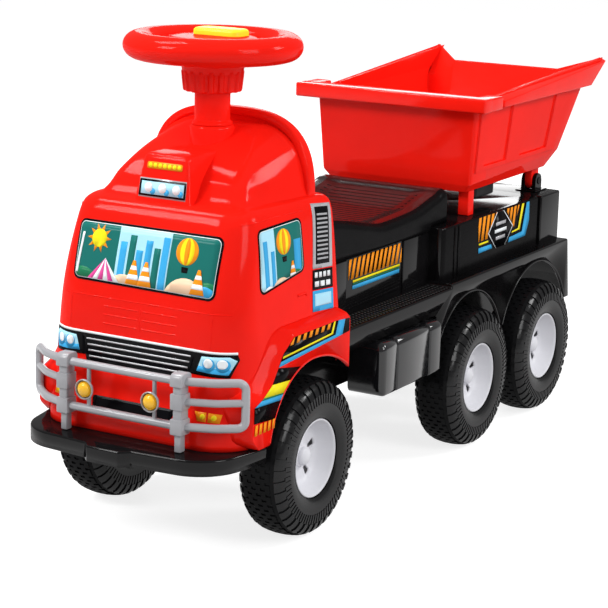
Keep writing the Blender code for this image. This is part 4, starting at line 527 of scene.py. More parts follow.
def lifted(surface, u, v, lift):
    """A point on a surface moved out along its normal, and the normal."""
    step = 0.0008
    along = surface(u + step, v) - surface(u - step, v)
    up = surface(u, v + step) - surface(u, v - step)
    normal = along.cross(up).normalized()
    return surface(u, v) + normal * lift, normal


def on_front(u, v, lift):
    return lifted(cab_front, u, v, lift)


def on_side(u, v, lift):
    return lifted(cab_side, u, v, lift)


def on_wall(x):
    """Prints on an upright wall that faces left."""
    return lambda u, v, lift: (Vector((x + lift, u, v)), Vector((1, 0, 0)))


def clipped(bm, clip):
    """Trims a flat shape to a convex anticlockwise outline."""
    for a, b in zip(clip, [*clip[1:], clip[0]]):
        a, b = Vector((*a, 0)), Vector((*b, 0))
        outward = (b - a).cross(Vector((0, 0, 1)))
        if outward.length < 1e-9:
            continue
        geom = bm.verts[:] + bm.edges[:] + bm.faces[:]
        bmesh.ops.bisect_plane(bm, geom=geom, dist=1e-7, plane_co=a, plane_no=outward, clear_outer=True)


def printed(outline, place, lift, pitch, clip=None):
    """A flat outline laid on a surface, cut into cells first so that it follows the curve."""
    bm = bmesh.new()
    bm.faces.new([bm.verts.new((u, v, 0)) for u, v in outline])
    if clip:
        clipped(bm, clip)
    for axis in (0, 1):
        values = [vert.co[axis] for vert in bm.verts]
        if not values:
            break
        normal = Vector((1, 0, 0)) if axis == 0 else Vector((0, 1, 0))
        at = math.ceil(min(values) / pitch) * pitch
        while at < max(values):
            geom = bm.verts[:] + bm.edges[:] + bm.faces[:]
            bmesh.ops.bisect_plane(bm, geom=geom, dist=1e-7, plane_co=normal * at, plane_no=normal)
            at += pitch
    for vert in bm.verts:
        vert.co = place(vert.co.x, vert.co.y, lift)[0]
    return bm


PRINT_FILM = 0.00010  # thickness of a print
PRINT_STEP = 0.00013  # each layer of a print above the one below


def print_sheet(name, node, place, layers, pitch=0.008, mirror=True):
    """A many-coloured print: layers of (finish name, outline, clip or None), lowest first."""
    names = list(dict.fromkeys(layer[0] for layer in layers))
    shapes, below = [], []
    for finish, outline, clip in layers:
        low = [min(point[i] for point in outline) for i in (0, 1)]
        high = [max(point[i] for point in outline) for i in (0, 1)]
        under = [level for level, a, b in below if all(a[i] < high[i] and low[i] < b[i] for i in (0, 1))]
        level = max(under, default=0) + 1
        below.append((level, low, high))
        bm = printed(outline, place, 0.0002 + PRINT_STEP * level, pitch, clip)
        for face in bm.faces:
            face.material_index = names.index(finish)
        shapes.append(bm)
    sheet = join(*shapes)
    finishes = [Finishes.get(finish) for finish in names]
    if mirror:
        other = sheet.copy()
        bmesh.ops.scale(other, vec=(-1, 1, 1), verts=other.verts)
        bmesh.ops.reverse_faces(other, faces=other.faces)
        right = piece(f"{name}_right", other, node, *finishes)
        add_wall(right, PRINT_FILM)
        name = f"{name}_left"
    add_wall(piece(name, sheet, node, *finishes), PRINT_FILM)


# Cab


def cab_levels():
    low = steps_between(CAB_ROWS[0][0], 0.3190, 0.0052)
    shoulder = steps_between(0.3205, 0.3370, 0.0011)
    return low + shoulder + steps_between(0.3395, 0.3975, 0.0032) + steps_between(0.3985, CAB_ROWS[-1][0], 0.0006)


def arch_arm(co):
    """From the front arch's middle to a place, measured as if the drawn-out rear half were round."""
    return Vector((co.y / ARCH_STRETCH if co.y > 0 else co.y, co.z - ARCH_Z))


def arch_line(radius, rear, front):
    """The front arch's edge as (y, z) points, with its rear half drawn out."""
    points = arc_points((0, ARCH_Z), radius, rear, front, 44)
    return [(y * ARCH_STRETCH if y > 0 else y, z) for y, z in points]


def cab_body():
    """The hollow body: outline rings from sill to roof, open below and at the wheel arches."""
    bm = loft([[(x, y, z) for x, y in cab_ring(round(z, 5))] for z in cab_levels()], caps=(False, True))
    clear = ARCH_RADIUS + 0.006

    def in_arch(co):
        beside = abs(co.x) > 0.085 and arch_arm(co).length < clear
        return beside or (co.y > 0 and co.z < REAR_SILL)

    gone = [face for face in bm.faces if in_arch(face.calc_center_median())]
    bmesh.ops.delete(bm, geom=gone, context="FACES")
    for vert in bm.verts:
        if vert.is_boundary and abs(vert.co.x) > 0.085 and vert.co.z > CAB_ROWS[0][0] + 0.001:
            arm = arch_arm(vert.co)
            if 0.6 * clear < arm.length < 1.25 * clear:
                arm *= clear / arm.length
                vert.co.y = arm.x * ARCH_STRETCH if arm.x > 0 else arm.x
                vert.co.z = ARCH_Z + arm.y
    return bm


def evenly(points, count):
    """A line of points cut again into equal lengths."""
    points = [Vector(point) for point in points]
    lengths = [0.0]
    for p, q in zip(points, points[1:]):
        lengths.append(lengths[-1] + (q - p).length)
    cut = []
    for k in range(count):
        at = lengths[-1] * k / (count - 1)
        i = max(j for j in range(len(points) - 1) if lengths[j] <= at)
        cut.append(points[i].lerp(points[i + 1], min(1.0, (at - lengths[i]) / (lengths[i + 1] - lengths[i]))))
    return cut


FLARE_RIM = [(-0.100, 0.1131), (-0.112, 0.1240), (-0.112, 0.1560), (-0.094, 0.1620), (-0.079, 0.1715),
             (-0.067, 0.1870), (-0.057, 0.1990), (-0.041, 0.2130), (-0.030, 0.2148), (0.064, 0.2148),
             (0.0705, 0.2090), (0.0705, REAR_SILL)]
FLARE_ROOT = [(-0.104, 0.1131), (-0.120, 0.1220), (-0.121, 0.1600), (-0.100, 0.1780), (-0.084, 0.1960),
              (-0.066, 0.2140), (-0.048, 0.2205), (0.062, 0.2205), (0.0775, 0.2130), (0.0787, REAR_SILL)]


def flare_shape():
    """A wheel-arch flare: flat face with an arched edge, and a broad slope back to the cab's side."""
    arch_rear = math.degrees(math.asin((REAR_SILL - ARCH_Z) / ARCH_RADIUS))
    arch_front = 180 - math.degrees(math.asin((0.1131 - ARCH_Z) / ARCH_RADIUS))
    arch = arch_line(ARCH_RADIUS, arch_rear, arch_front)
    radii = [0, 0.006, 0.006, 0.012, 0.012, 0.020, 0.020, 0.008, 0.004, 0.003, 0.003, 0]
    rim = evenly(rounded(FLARE_RIM, radii, 5, closed=False), 72)
    radii = [0, 0.008, 0.010, 0.020, 0.020, 0.020, 0.008, 0.004, 0.006, 0]
    root = evenly(rounded(FLARE_ROOT, radii, 5, closed=False), 72)
    foot = [Vector((cab_side(y, z).x - 0.0012, y, z)) for y, z in root]
    face = [Vector((FLARE_FACE, y, z)) for y, z in rim]
    rows = []
    for t, swell in ((0, 0), (0.2, 0.0008), (0.4, 0.0014), (0.6, 0.0017), (0.8, 0.0014), (0.93, 0.0007), (1, 0)):
        row = [a.lerp(b, t) + Vector((swell, 0, 0)) for a, b in zip(foot, face)]
        rows.append(row)
    bm = loft(rows, closed=False, caps=(False, False))
    bm.faces.new([bm.verts.new((FLARE_FACE, y, z)) for y, z in [*arch, *rim]])
    bmesh.ops.remove_doubles(bm, verts=bm.verts, dist=1e-6)
    bmesh.ops.recalc_face_normals(bm, faces=bm.faces)
    if sum(f.normal.x * f.calc_area() for f in bm.faces) < 0:
        bmesh.ops.reverse_faces(bm, faces=bm.faces)
    return bm


def flare_edges():
    """A thin bead along the arched edge of each flare."""
    line = arch_line(ARCH_RADIUS + 0.0013, 48, 169)
    return both_sides(bead([(Vector((FLARE_FACE, y, z)), Vector((1, 0, 0))) for y, z in line], 0.0024, 0.0012))


def pod_shape():
    """The lamp pod on the roof's brow, with rounded edges."""
    rings = []
    for t, shrink in ((0, 0), (0.5, 0), (0.9, 0), (0.95, 0.0006), (0.985, 0.0018), (1.0, 0.0038)):
        half = 0.033 + (0.025 - 0.033) * t - shrink
        front = -0.0845 + 0.009 * t + shrink
        corners = [(-half, front), (half, front), (half, -0.012), (-half, -0.012)]
        rings.append([(x, y, 0.330 + 0.0495 * t) for x, y in rounded(corners, 0.004 - shrink / 2, 5)])
    return loft(rings)


def hoop_path():
    """Middle line of the arched band over the back of the roof, as (x, z) points."""
    path = []
    for k in range(61):
        turn = math.pi * k / 60
        c, s = math.cos(turn), math.sin(turn)
        path.append((math.copysign(abs(c) ** 0.68, c) * 0.0905, 0.325 + abs(s) ** 0.68 * 0.0855))
    return path


def hoop_shape():
    """The arched band with rounded edges, and the thin wall inside it."""
    half_band, half_width = 0.0042, 0.0068
    corners = [(-half_band, -half_width), (half_band, -half_width), (half_band, half_width),
               (-half_band, half_width)]
    path = hoop_path()
    band = sweep([(x, 0.0415, z) for x, z in path], rounded(corners, 0.0026, 4), side=(0, 1, 0))
    return join(band, plate(path, "Y", 0.0372, 0.0446))


def boss_shape():
    """The round seat of the steering column on the roof."""
    profile = [(0.366, 0.0128), (0.366, 0.0222), (0.3972, 0.0222), (0.3990, 0.0217), (0.4000, 0.0204),
               (0.4000, 0.0128)]
    return turned(profile, "Z", 64, (0, COLUMN_Y, 0))


def front_line(points, width=0.0011, height=0.0005):
    """A raised line on the cab's front through (x, z) points."""
    places = []
    for (u0, v0), (u1, v1) in zip(points, points[1:]):
        count = max(2, round(math.hypot(u1 - u0, v1 - v0) / 0.006))
        for k in range(count + 1):
            t = k / count
            places.append(on_front(u0 + (u1 - u0) * t, v0 + (v1 - v0) * t, 0.0))
    return bead(places, width, height)


def side_line(points, width=0.0012, height=0.0006):
    """A raised line on the cab's side through (y, z) points."""
    places = []
    for (u0, v0), (u1, v1) in zip(points, points[1:]):
        count = max(2, round(math.hypot(u1 - u0, v1 - v0) / 0.006))
        for k in range(count + 1):
            t = k / count
            places.append(on_side(u0 + (u1 - u0) * t, v0 + (v1 - v0) * t, 0.0))
    return bead(places, width, height)


def nose_lines():
    """Raised lines of the nose panel and its louvres."""
    shapes = [front_line([(-0.098, 0.2415), (0.098, 0.2415)])]
    for x in (-0.0813, 0.0813):
        shapes.append(front_line([(x, 0.2415), (x, 0.2090)]))
    shapes.append(front_line([(0.0, 0.2360), (0.0, 0.2130)]))
    for z in (0.2335, 0.2250, 0.2165):
        for side in (1, -1):
            shapes.append(front_line([(side * 0.003, z), (side * 0.042, z)], 0.0016, 0.0006))
    return join(*shapes)


def door_lines():
    """The moulded door line and its handle."""
    handle = side_line([(-0.010, 0.2440), (0.004, 0.2445), (0.006, 0.2420)], 0.0030, 0.0013)
    brow = side_line([(-0.086, 0.3230), (-0.040, 0.3255), (0.008, 0.3250)], 0.0020, 0.0007)
    return both_sides(join(handle, brow))


def build_cab():
    # The inner finish on the inside faces of the body and flares is painted shade: near black where the red moulding
    # lies in shade
    red, inner = Finishes.get("red"), Finishes.get("inner")
    body = piece("cab_body", cab_body(), "cab_shell", red, inner, replaces=True)
    add_wall(body, 0.0025, 1)
    for side, hand in SIDES:
        bm = flare_shape()
        if side < 0:
            bmesh.ops.scale(bm, vec=(-1, 1, 1), verts=bm.verts)
            bmesh.ops.reverse_faces(bm, faces=bm.faces)
        add_wall(piece(f"wheel_arch_flare_{hand}", bm, "cab_shell", red, inner), 0.0025, 1)
    piece("flare_edge_beads", flare_edges(), "cab_shell", Finishes.get("rim"))
    piece("roof_lamp_pod", pod_shape(), "cab_shell", red)
    piece("roof_hoop", hoop_shape(), "cab_shell", red)
    piece("column_boss", boss_shape(), "cab_shell", red)
    piece("nose_panel_lines", nose_lines(), "cab_shell", red)
    piece("door_lines", door_lines(), "cab_shell", red)


# Bumper, bull bar and lamps


def bumper_shape():
    """The shelf under the cab: stepped middle, round corners, open below."""
    half = [(0.018, -0.1795), (0.0265, -0.1710), (0.110, -0.1640), (0.127, -0.086), (0.117, -0.086),
            (0.107, -0.1035), (0.058, -0.106)]
    radii = [0.002, 0.003, 0.048, 0.003, 0.003, 0.006, 0]
    outline = rounded(mirrored(half), radii + radii[::-1], [3, 3, 12, 3, 3, 4, 1, 1, 4, 3, 3, 12, 3, 3])
    bm = bmesh.new()
    face = bm.faces.new([bm.verts.new((x, y, 0.1125)) for x, y in outline])
    top_edges = list(face.edges)
    grown = bmesh.ops.extrude_edge_only(bm, edges=top_edges)["geom"]
    low = [item for item in grown if isinstance(item, bmesh.types.BMVert)]
    bmesh.ops.translate(bm, verts=low, vec=(0, 0, -0.0155))
    bmesh.ops.recalc_face_normals(bm, faces=bm.faces)
    round_edges(bm, top_edges, 0.0026, 4)
    if sum(f.normal.z * f.calc_area() for f in bm.faces) < 0:
        bmesh.ops.reverse_faces(bm, faces=bm.faces)
    return bm


RAIL_LEVELS = (0.138, 0.1625, 0.182)
RAIL_Y = -0.148


def bull_bar_shape():
    """The grey guard: hooked uprights with bands, rails, side loops, lamp stalks and cups."""
    shapes = []
    low, mid, top = RAIL_LEVELS
    for side in (1, -1):
        x = side * 0.066
        shapes.append(block((x - 0.0036, -0.1512, 0.1128), (x + 0.0036, -0.1424, 0.1360), 0.0014))
        shapes.append(block((x - 0.0048, -0.1525, 0.1290), (x + 0.0048, -0.1390, 0.1880), 0.0016))
        hook = rounded([(-0.1548, 0.1770), (-0.1548, 0.1900), (-0.1372, 0.1900), (-0.1372, 0.1770)],
                       [0.001, 0.0062, 0.0042, 0.001], 6)
        shapes.append(plate(hook, "X", x - 0.0068, x + 0.0068, 0.0012, 2))
        for z in (low, mid):
            shapes.append(block((x - 0.0068, -0.1545, z - 0.0078), (x + 0.0068, -0.1390, z + 0.0078), 0.0014, 2))
        root, bend, end = (x, RAIL_Y), (side * 0.098, -0.136), (side * 0.1205, -0.118)
        loop = [(*root, top), (*bend, top), (*end, top), (*end, low), (*bend, low), (*root, low)]
        radii = [0, 0.030, 0.0075, 0.0075, 0.030, 0]
        shapes.append(tube(rounded(loop, radii, 7, closed=False), 0.0041))
        bar = rounded([(*root, mid), (*bend, mid), (*end, mid)], [0, 0.030, 0], 7, closed=False)
        shapes.append(tube(bar, 0.0036))
        shapes.append(tube([(side * 0.038, RAIL_Y, z) for z in (low, 0.159, top)], 0.0021, 10))
        cup = [(-0.1545, 0.0086), (-0.1566, 0.0088), (-0.1573, 0.0094), (-0.1568, 0.0101), (-0.1552, 0.0101),
               (-0.1500, 0.0066), (-0.1478, 0.0040), (-0.1476, 0.0), (-0.1492, 0.0), (-0.1500, 0.0046)]
        shapes.append(turned(cup, "Y", 40, (side * 0.038, 0, 0.159), closed=False))
    for z in (low, top):
        shapes.append(tube([(-0.066, RAIL_Y, z), (0, RAIL_Y - 0.0006, z), (0.066, RAIL_Y, z)], 0.0041))
    return join(*shapes)


def lens_shape(side):
    """An amber dome with a dished rim."""
    profile = [(-0.1496, 0.0), (-0.1500, 0.0042), (-0.1545, 0.0078), (-0.1558, 0.0078), (-0.1565, 0.0074), (-0.1562, 0.0067)]
    for k in range(1, 9):
        turn = math.pi / 2 * k / 8
        profile.append((-0.1562 - 0.0040 * math.sin(turn), 0.0067 * math.cos(turn)))
    profile[-1] = (profile[-1][0], 0.0)
    return turned(profile, "Y", 36, (side * 0.038, 0, 0.159), closed=False)


def build_front():
    bumper = piece("bumper_shelf", bumper_shape(), "bumper", Finishes.get("black"), replaces=True)
    add_wall(bumper, 0.0025)
    piece("bull_bar_guard", bull_bar_shape(), "bull_bar", Finishes.get("grey"), replaces=True, sharp=30)
    for side, hand in SIDES:
        node = f"fog_lamp_lens_{hand}"
        piece(f"fog_lamp_{hand}", lens_shape(side), node, Finishes.get("amber"), replaces=True)


# Rear body, tanks and seat

FRONT_DECK = 0.1916
REAR_DECK = 0.1961
DECK_STEP = 0.322
BODY_HALF = 0.1157
ARCHES = ((0.370, 0.0915, 0.0865), (0.5505, 0.0840, 0.0975))


def skirt_outline():
    """Side view of the skirt below the decks, with both arches, and the index where its top starts."""
    foot = 0.1211
    sides = rounded([(0.0815, 0.1681), (0.2845, 0.1681), (0.2875, 0.1521), (0.2875, foot)], [0, 0.004, 0.004, 0], 4,
                    closed=False)
    for y, z, radius in ARCHES:
        rise = math.degrees(math.asin((foot - z) / radius))
        sides = [*sides, *arc_points((y, z), radius, 180 - rise, rise, 36)]
    top = [(0.657, foot), (0.646, REAR_DECK), (DECK_STEP, REAR_DECK), (DECK_STEP, FRONT_DECK), (0.0815, FRONT_DECK)]
    return [*sides, *top], len(sides)


def body_shell():
    """Decks and skirts as one skin, open below: both side faces and the strip between their top edges."""
    outline, start = skirt_outline()
    bm = bmesh.new()
    left = [bm.verts.new((BODY_HALF, y, z)) for y, z in outline]
    bm.faces.new(left)
    chain = [*left[start:], left[0]]
    edges = [bm.edges.get(pair) for pair in zip(chain, chain[1:])]
    grown = bmesh.ops.extrude_edge_only(bm, edges=edges)["geom"]
    over = [item for item in grown if isinstance(item, bmesh.types.BMVert)]
    bmesh.ops.translate(bm, verts=over, vec=(-2 * BODY_HALF, 0, 0))
    right = [bm.verts.new((-BODY_HALF, y, z)) for y, z in outline]
    bm.faces.new(right)
    bmesh.ops.remove_doubles(bm, verts=bm.verts, dist=1e-6)
    bmesh.ops.recalc_face_normals(bm, faces=bm.faces)
    top_faces = [f for f in bm.faces if abs(f.normal.x) < 0.5]
    if sum(f.normal.z * f.calc_area() for f in top_faces) < 0:
        bmesh.ops.reverse_faces(bm, faces=bm.faces)
    seams = [e for e in bm.edges if len(e.link_faces) == 2 and e.calc_face_angle(0) > 0.5]
    round_edges(bm, seams, 0.0022, 4)
    return bm


def arch_lips():
    """Raised beads along the arches of the skirts."""
    shapes = []
    normal = Vector((1, 0, 0))
    spans = ((21, 158), (23, 157))
    for (y, z, radius), (start, end) in zip(ARCHES, spans):
        line = arc_points((y, z), radius + 0.0013, start, end, 40)
        shapes.append(bead([(Vector((BODY_HALF, u, v)), normal) for u, v in line], 0.0026, 0.0012))
    return both_sides(join(*shapes))


def seat_box_shape():
    """The box under the seat with a pilaster ahead of and behind the print."""
    shapes = [block((-0.0805, 0.0827, 0.186), (0.0805, 0.335, 0.2620), 0.003)]
    shapes.append(block((-0.0825, 0.0840, 0.186), (0.0825, 0.1385, 0.2505), 0.0012))
    shapes.append(block((-0.0822, 0.2660, 0.186), (0.0822, 0.3300, 0.2505), 0.0010))
    return join(*shapes)


def load_box_shape():
    """The box under the bed: rounded front corners, double ridge, proud tail panels."""
    plan = [(0.100, 0.326), (0.100, 0.5818), (0.096, 0.583), (0.096, 0.588), (0.1025, 0.588), (0.1025, 0.6448)]
    radii = [0.008, 0, 0, 0, 0.002, 0.004]
    outline = rounded(mirrored(plan), radii + radii[::-1], 5)
    shapes = [plate(outline, "Z", 0.190, 0.2560, 0.0022, 3)]
    ridges = []
    for y in (0.3560, 0.3655):
        ridges.append(block((0.0990, y - 0.0022, 0.1955), (0.1014, y + 0.0022, 0.2540), 0.0009, 2))
    return join(*shapes, both_sides(join(*ridges)))


def deck_dimples():
    """Low domes in rows on the running boards."""
    shapes = []
    for i, y in enumerate(steps_between(0.092, 0.316, 0.0064)):
        for j, x in enumerate(steps_between(0.0875, 0.1105, 0.0057)):
            bm = bmesh.new()
            bmesh.ops.create_uvsphere(bm, u_segments=8, v_segments=5, radius=0.0023)
            lower = [v for v in bm.verts if v.co.z < -0.0004]
            bmesh.ops.delete(bm, geom=lower, context="VERTS")
            bmesh.ops.scale(bm, vec=(1, 1, 0.70), verts=bm.verts)
            shift = 0.0032 if j % 2 else 0.0
            bmesh.ops.translate(bm, verts=bm.verts, vec=(x, min(y + shift, 0.318), FRONT_DECK - 0.0001))
            shapes.append(bm)
    return both_sides(join(*shapes))


def tank_shape():
    """A fuel-tank box: rounded outer edge and ends, two strap grooves, and the arm it is carried by."""
    root, face, foot, top = 0.0840, 0.1260, TANK_LOW.z, TANK_HIGH.z
    front, rear = TANK_LOW.y - AXLE_Y, TANK_HIGH.y - AXLE_Y
    length = rear - front
    stations = []
    for k in range(7):
        turn = math.pi / 2 * k / 6
        stations.append((front + 0.008 * (1 - math.cos(turn)), 0.008 * (1 - math.sin(turn))))
    for share in (0.23, 0.77):
        y = front + share * length
        stations += [(y - 0.0028, 0.0), (y - 0.0020, 0.0004), (y - 0.0012, 0.0018), (y + 0.0012, 0.0018),
                     (y + 0.0020, 0.0004), (y + 0.0028, 0.0)]
    stations += [(front + rear - y, shrink) for y, shrink in reversed(stations[:7])]
    rings = []
    for y, shrink in stations:
        corners = [(root, foot + shrink), (face - shrink, foot + shrink), (face - shrink, top - shrink),
                   (root, top - shrink)]
        outline = rounded(corners, [0, 0.004, 0.009 - shrink / 2, 0], [1, 4, 7, 1])
        rings.append([(x, y, z) for x, z in outline])
    arm = block((0.0505, front + 0.3 * length, foot + 0.014), (0.0855, rear - 0.3 * length, top - 0.006), 0.002)
    return join(loft(rings), arm)


SEAT_ROWS = [
    (0.0765, 0.2990, 0.0030),
    (0.1000, 0.2976, 0.0035),
    (0.1440, 0.2908, 0.0040),
    (0.1755, 0.2844, 0.0045),
    (0.2230, 0.2768, 0.0045),
    (0.2890, 0.2792, 0.0045),
    (0.3350, 0.2876, 0.0035),
    (0.3500, 0.2912, 0.0026),
    (0.3540, 0.2930, 0.0010),
    (0.3630, 0.2945, 0.0005),
    (0.3676, 0.2925, 0.0005),
]
SEAT_HALF = 0.084
SEAT_FOOT = 0.2516
LOAD_BOX_TOP = 0.2561


def seat_ring(y, shrink):
    edge, dip = eased(SEAT_ROWS, y)
    edge -= shrink
    half = SEAT_HALF - shrink
    foot = SEAT_FOOT if y < 0.3257 else LOAD_BOX_TOP + 0.0003
    side = [(half, foot), (half, edge), (0.066, edge), (0.046, edge - dip)]
    corners = mirrored(side)
    radii = [0, 0.010, 0.006, 0.020, 0.020, 0.006, 0.010, 0]
    runs = [4, 2, 2, 10, 2, 2, 4, 1]
    return [(x, y, z) for x, z in rounded(corners, radii, 6, runs, closed=False)]


def seat_shape():
    """The saddle: dished top, rolled front edge and raised rear bead, open below."""
    stations = []
    for k in range(6):
        turn = math.pi / 2 * k / 5
        stations.append((0.0765 + 0.006 * (1 - math.cos(turn)), 0.006 * (1 - math.sin(turn))))
    for y in steps_between(0.088, 0.3250, 0.0060):
        stations.append((y, 0.0))
    for y in steps_between(0.3260, 0.3640, 0.0020):
        stations.append((y, 0.0))
    for k in range(1, 6):
        turn = math.pi / 2 * k / 5
        stations.append((0.3640 + 0.0036 * math.sin(turn), 0.0036 * (1 - math.cos(turn))))
    bm = loft([seat_ring(y, shrink) for y, shrink in stations], closed=False, caps=(False, False))
    ends = {stations[0][0], stations[-1][0]}
    for at in ends:
        edges = [e for e in bm.edges if all(abs(v.co.y - at) < 1e-6 for v in e.verts)]
        bmesh.ops.contextual_create(bm, geom=edges)
    bmesh.ops.recalc_face_normals(bm, faces=bm.faces)
    if sum(f.normal.z * f.calc_area() for f in bm.faces) < 0:
        bmesh.ops.reverse_faces(bm, faces=bm.faces)
    return bm


def seat_lines():
    """Fine raised lines across the saddle."""
    shapes = []
    for y in steps_between(0.094, 0.340, 0.0082):
        places = []
        for k in range(17):
            x = 0.058 * (k / 8 - 1)
            edge, dip = eased(SEAT_ROWS, y)
            share = min(1.0, max(0.0, (0.064 - abs(x)) / 0.016))
            places.append((Vector((x, y, edge - dip * share * share * (3 - 2 * share) + 0.0001)), Vector((0, 0, 1))))
        shapes.append(bead(places, 0.0014, 0.00022))
    return join(*shapes)


def build_body():
    black = Finishes.get("black")
    shell = piece("rear_body_shell", body_shell(), "rear_body", black, replaces=True)
    add_wall(shell, 0.0025)
    piece("arch_lips", arch_lips(), "rear_body", black)
    piece("seat_box", seat_box_shape(), "rear_body", black)
    bm = load_box_shape()
    bm.normal_update()
    for face in bm.faces:
        face.material_index = 1 if abs(face.normal.x) > 0.7 and face.calc_center_median().y < 0.582 else 0
    piece("load_box", bm, "rear_body", Finishes.get("box"), Finishes.get("seat_side"))
    piece("running_board_dimples", deck_dimples(), "rear_body", Finishes.get("stud"))
    for side, hand in SIDES:
        bm = tank_shape()
        if side < 0:
            bmesh.ops.scale(bm, vec=(-1, 1, 1), verts=bm.verts)
            bmesh.ops.reverse_faces(bm, faces=bm.faces)
        piece(f"fuel_tank_box_{hand}", bm, f"fuel_tank_{hand}", Finishes.get("tank"), replaces=True)
    bm = seat_shape()
    bm.normal_update()
    for face in bm.faces:
        # The top takes the red-tinted seat finish, black with a painted reflection of the red bed; the sides take
        # plain black
        face.material_index = 1 if abs(face.calc_center_median().x) > 0.0765 else 0
    seat = piece("saddle_seat", bm, "seat", Finishes.get("seat"), Finishes.get("seat_side"), replaces=True)
    add_wall(seat, 0.003)
    piece("saddle_lines", seat_lines(), "seat", Finishes.get("seat_side"))


# Dump bed

HINGE_Y = 0.622
BED_FLOOR = 0.2851
BED_ROWS = [
    (0, 0.0890, -0.2220, 0.0000, 0.0840, 0.0100, 0.0000, 0.0600, 0.0130, 0.0000),
    (1, 0.0972, -0.2262, 0.0100, 0.0925, 0.0330, 0.0210, 0.0622, 0.0220, 0.0210),
    (2, 0.1030, -0.2305, 0.0950, 0.1075, 0.0600, 0.0950, 0.0689, 0.0566, 0.0950),
    (3, 0.1035, -0.2310, 0.1050, 0.1165, 0.1105, 0.1290, 0.0708, 0.0660, 0.1150),
]


def bed_ring(key):
    """The tub's outline between two of its levels."""
    k = min(int(key), len(BED_ROWS) - 2)
    values = [a + (b - a) * (key - k) for a, b in zip(BED_ROWS[k][1:], BED_ROWS[k + 1][1:])]
    half = [values[i:i + 3] for i in (0, 3, 6)]
    corners = [(x, HINGE_Y + y, BED_FLOOR + z) for x, y, z in mirrored(half)]
    return rounded(corners, [0.004, 0.003, 0.0025, 0.0025, 0.003, 0.004], 4, [14, 4, 10, 4, 14, 14])


def bed_side_x(y, z):
    """Outer face of a bed side at a place along it and a level."""
    knee, rim = BED_ROWS[1], BED_ROWS[2]
    level = knee[3] + (knee[6] - knee[3]) * (y - HINGE_Y - knee[2]) / (knee[5] - knee[2])
    share = (z - BED_FLOOR - level) / (rim[3] - level)
    x0, y0, x1, y1 = (knee[i] + (rim[i] - knee[i]) * share for i in (1, 2, 4, 5))
    return x0 + (x1 - x0) * (y - HINGE_Y - y0) / (y1 - y0)


def tub_shape():
    """The tub's skin, open above."""
    keys = [0, 0.25, 0.5, 0.75, 1.0, 1.25, 1.5, 1.75, 2.0, 2.5, 3.0]
    bm = loft([bed_ring(key) for key in keys], caps=(True, False))
    floor = [f for f in bm.faces if abs(f.normal.z) > 0.9 and len(f.verts) > 4]
    if floor and floor[0].normal.z > 0:
        bmesh.ops.reverse_faces(bm, faces=bm.faces)
    return bm


def bed_rims():
    """The front rim with its ears, and side rims whose tops slope outwards."""
    front_wall = HINGE_Y + BED_ROWS[2][2]
    rim_foot = BED_FLOOR + 0.096
    ear = block((0.1018, front_wall - 0.0170, rim_foot + 0.0003), (0.1222, front_wall + 0.0295, rim_foot + 0.0157),
                0.0020, 3)
    lead = front_wall + 0.0465
    slope = (0.1290 - 0.1050) / (0.1105 + 0.2310)
    lead_top = BED_FLOOR + 0.1050 + slope * (lead - HINGE_Y + 0.2310) + 0.0003
    beak_y, beak_z = HINGE_Y + 0.068, BED_FLOOR + 0.098
    tip_y, tip_z = HINGE_Y + 0.1105, BED_FLOOR + 0.1290 + 0.0003
    first = [(0.1018, lead, BED_FLOOR + 0.0965), (0.1163, lead, BED_FLOOR + 0.0965), (0.1163, lead, lead_top - 0.0045),
             (0.0990, lead, lead_top)]
    last = [(bed_side_x(beak_y, beak_z) - 0.0012, beak_y, beak_z), (0.1175, beak_y, beak_z),
            (0.1178, tip_y, tip_z - 0.0040), (0.1085, tip_y, tip_z)]
    rings = [[Vector(a).lerp(Vector(b), t) for a, b in zip(first, last)] for t in (0, 0.25, 0.5, 0.75, 1)]
    rim = loft(rings)
    round_edges(rim, [e for e in rim.edges if e.calc_face_angle(0) > 0.6], 0.0010, 3)
    rim_block = block((-0.1225, front_wall - 0.0195, rim_foot), (0.1225, front_wall + 0.0022, rim_foot + 0.016),
                      0.0020, 4)
    return join(rim_block, both_sides(join(ear, rim)))


def bed_side_band(low, high, start, end):
    """A low raised band on a bed side between two levels and two places along it."""
    rings = []
    for y, edge in ((start, -0.0012), (start + 0.0018, 0.0022), (end - 0.0018, 0.0022), (end, -0.0012)):
        along = HINGE_Y + y
        ring = []
        for z, out in ((low, -0.0014), (low + 0.0012, edge), (high - 0.0012, edge), (high, -0.0014)):
            level = BED_FLOOR + z
            ring.append((bed_side_x(along, level) + out, along, level))
        ring.append((bed_side_x(along, BED_FLOOR + high) - 0.0016, along, BED_FLOOR + high))
        ring.append((bed_side_x(along, BED_FLOOR + low) - 0.0016, along, BED_FLOOR + low))
        rings.append(ring)
    return loft(rings)


def bed_fittings():
    """Side bands, feet and hinge lugs on the left side, and their mirror images."""
    shapes = []
    for start, end in ((-0.2215, -0.199), (-0.139, -0.097), (-0.019, 0.011)):
        shapes.append(bed_side_band(0.0235, 0.0957, start, end))
    shapes.append(bed_side_band(0.0225, 0.0300, -0.2213, 0.0108))
    start = HINGE_Y - 0.2100 + 0.0012
    foot = [(0.074, LOAD_BOX_TOP + 0.0003), (0.087, LOAD_BOX_TOP + 0.0003), (0.087, BED_FLOOR + 0.0101),
            (0.080, BED_FLOOR + 0.0012), (0.074, BED_FLOOR + 0.0012)]
    shapes.append(plate(foot, "Y", start, start + 0.015, 0.0010, 2))
    hinge = middle_of("hinge_pin_left")
    eye = [(HINGE_Y + 0.0105, BED_FLOOR + 0.0012)]
    eye += [(HINGE_Y + a, hinge.z + b) for a, b in arc_points((0, 0), 0.0105, 0, -180, 16)]
    eye.append((HINGE_Y - 0.0105, BED_FLOOR + 0.0012))
    shapes.append(plate(eye, "X", 0.0680, 0.0770, 0.0008, 2))
    return both_sides(join(*shapes))


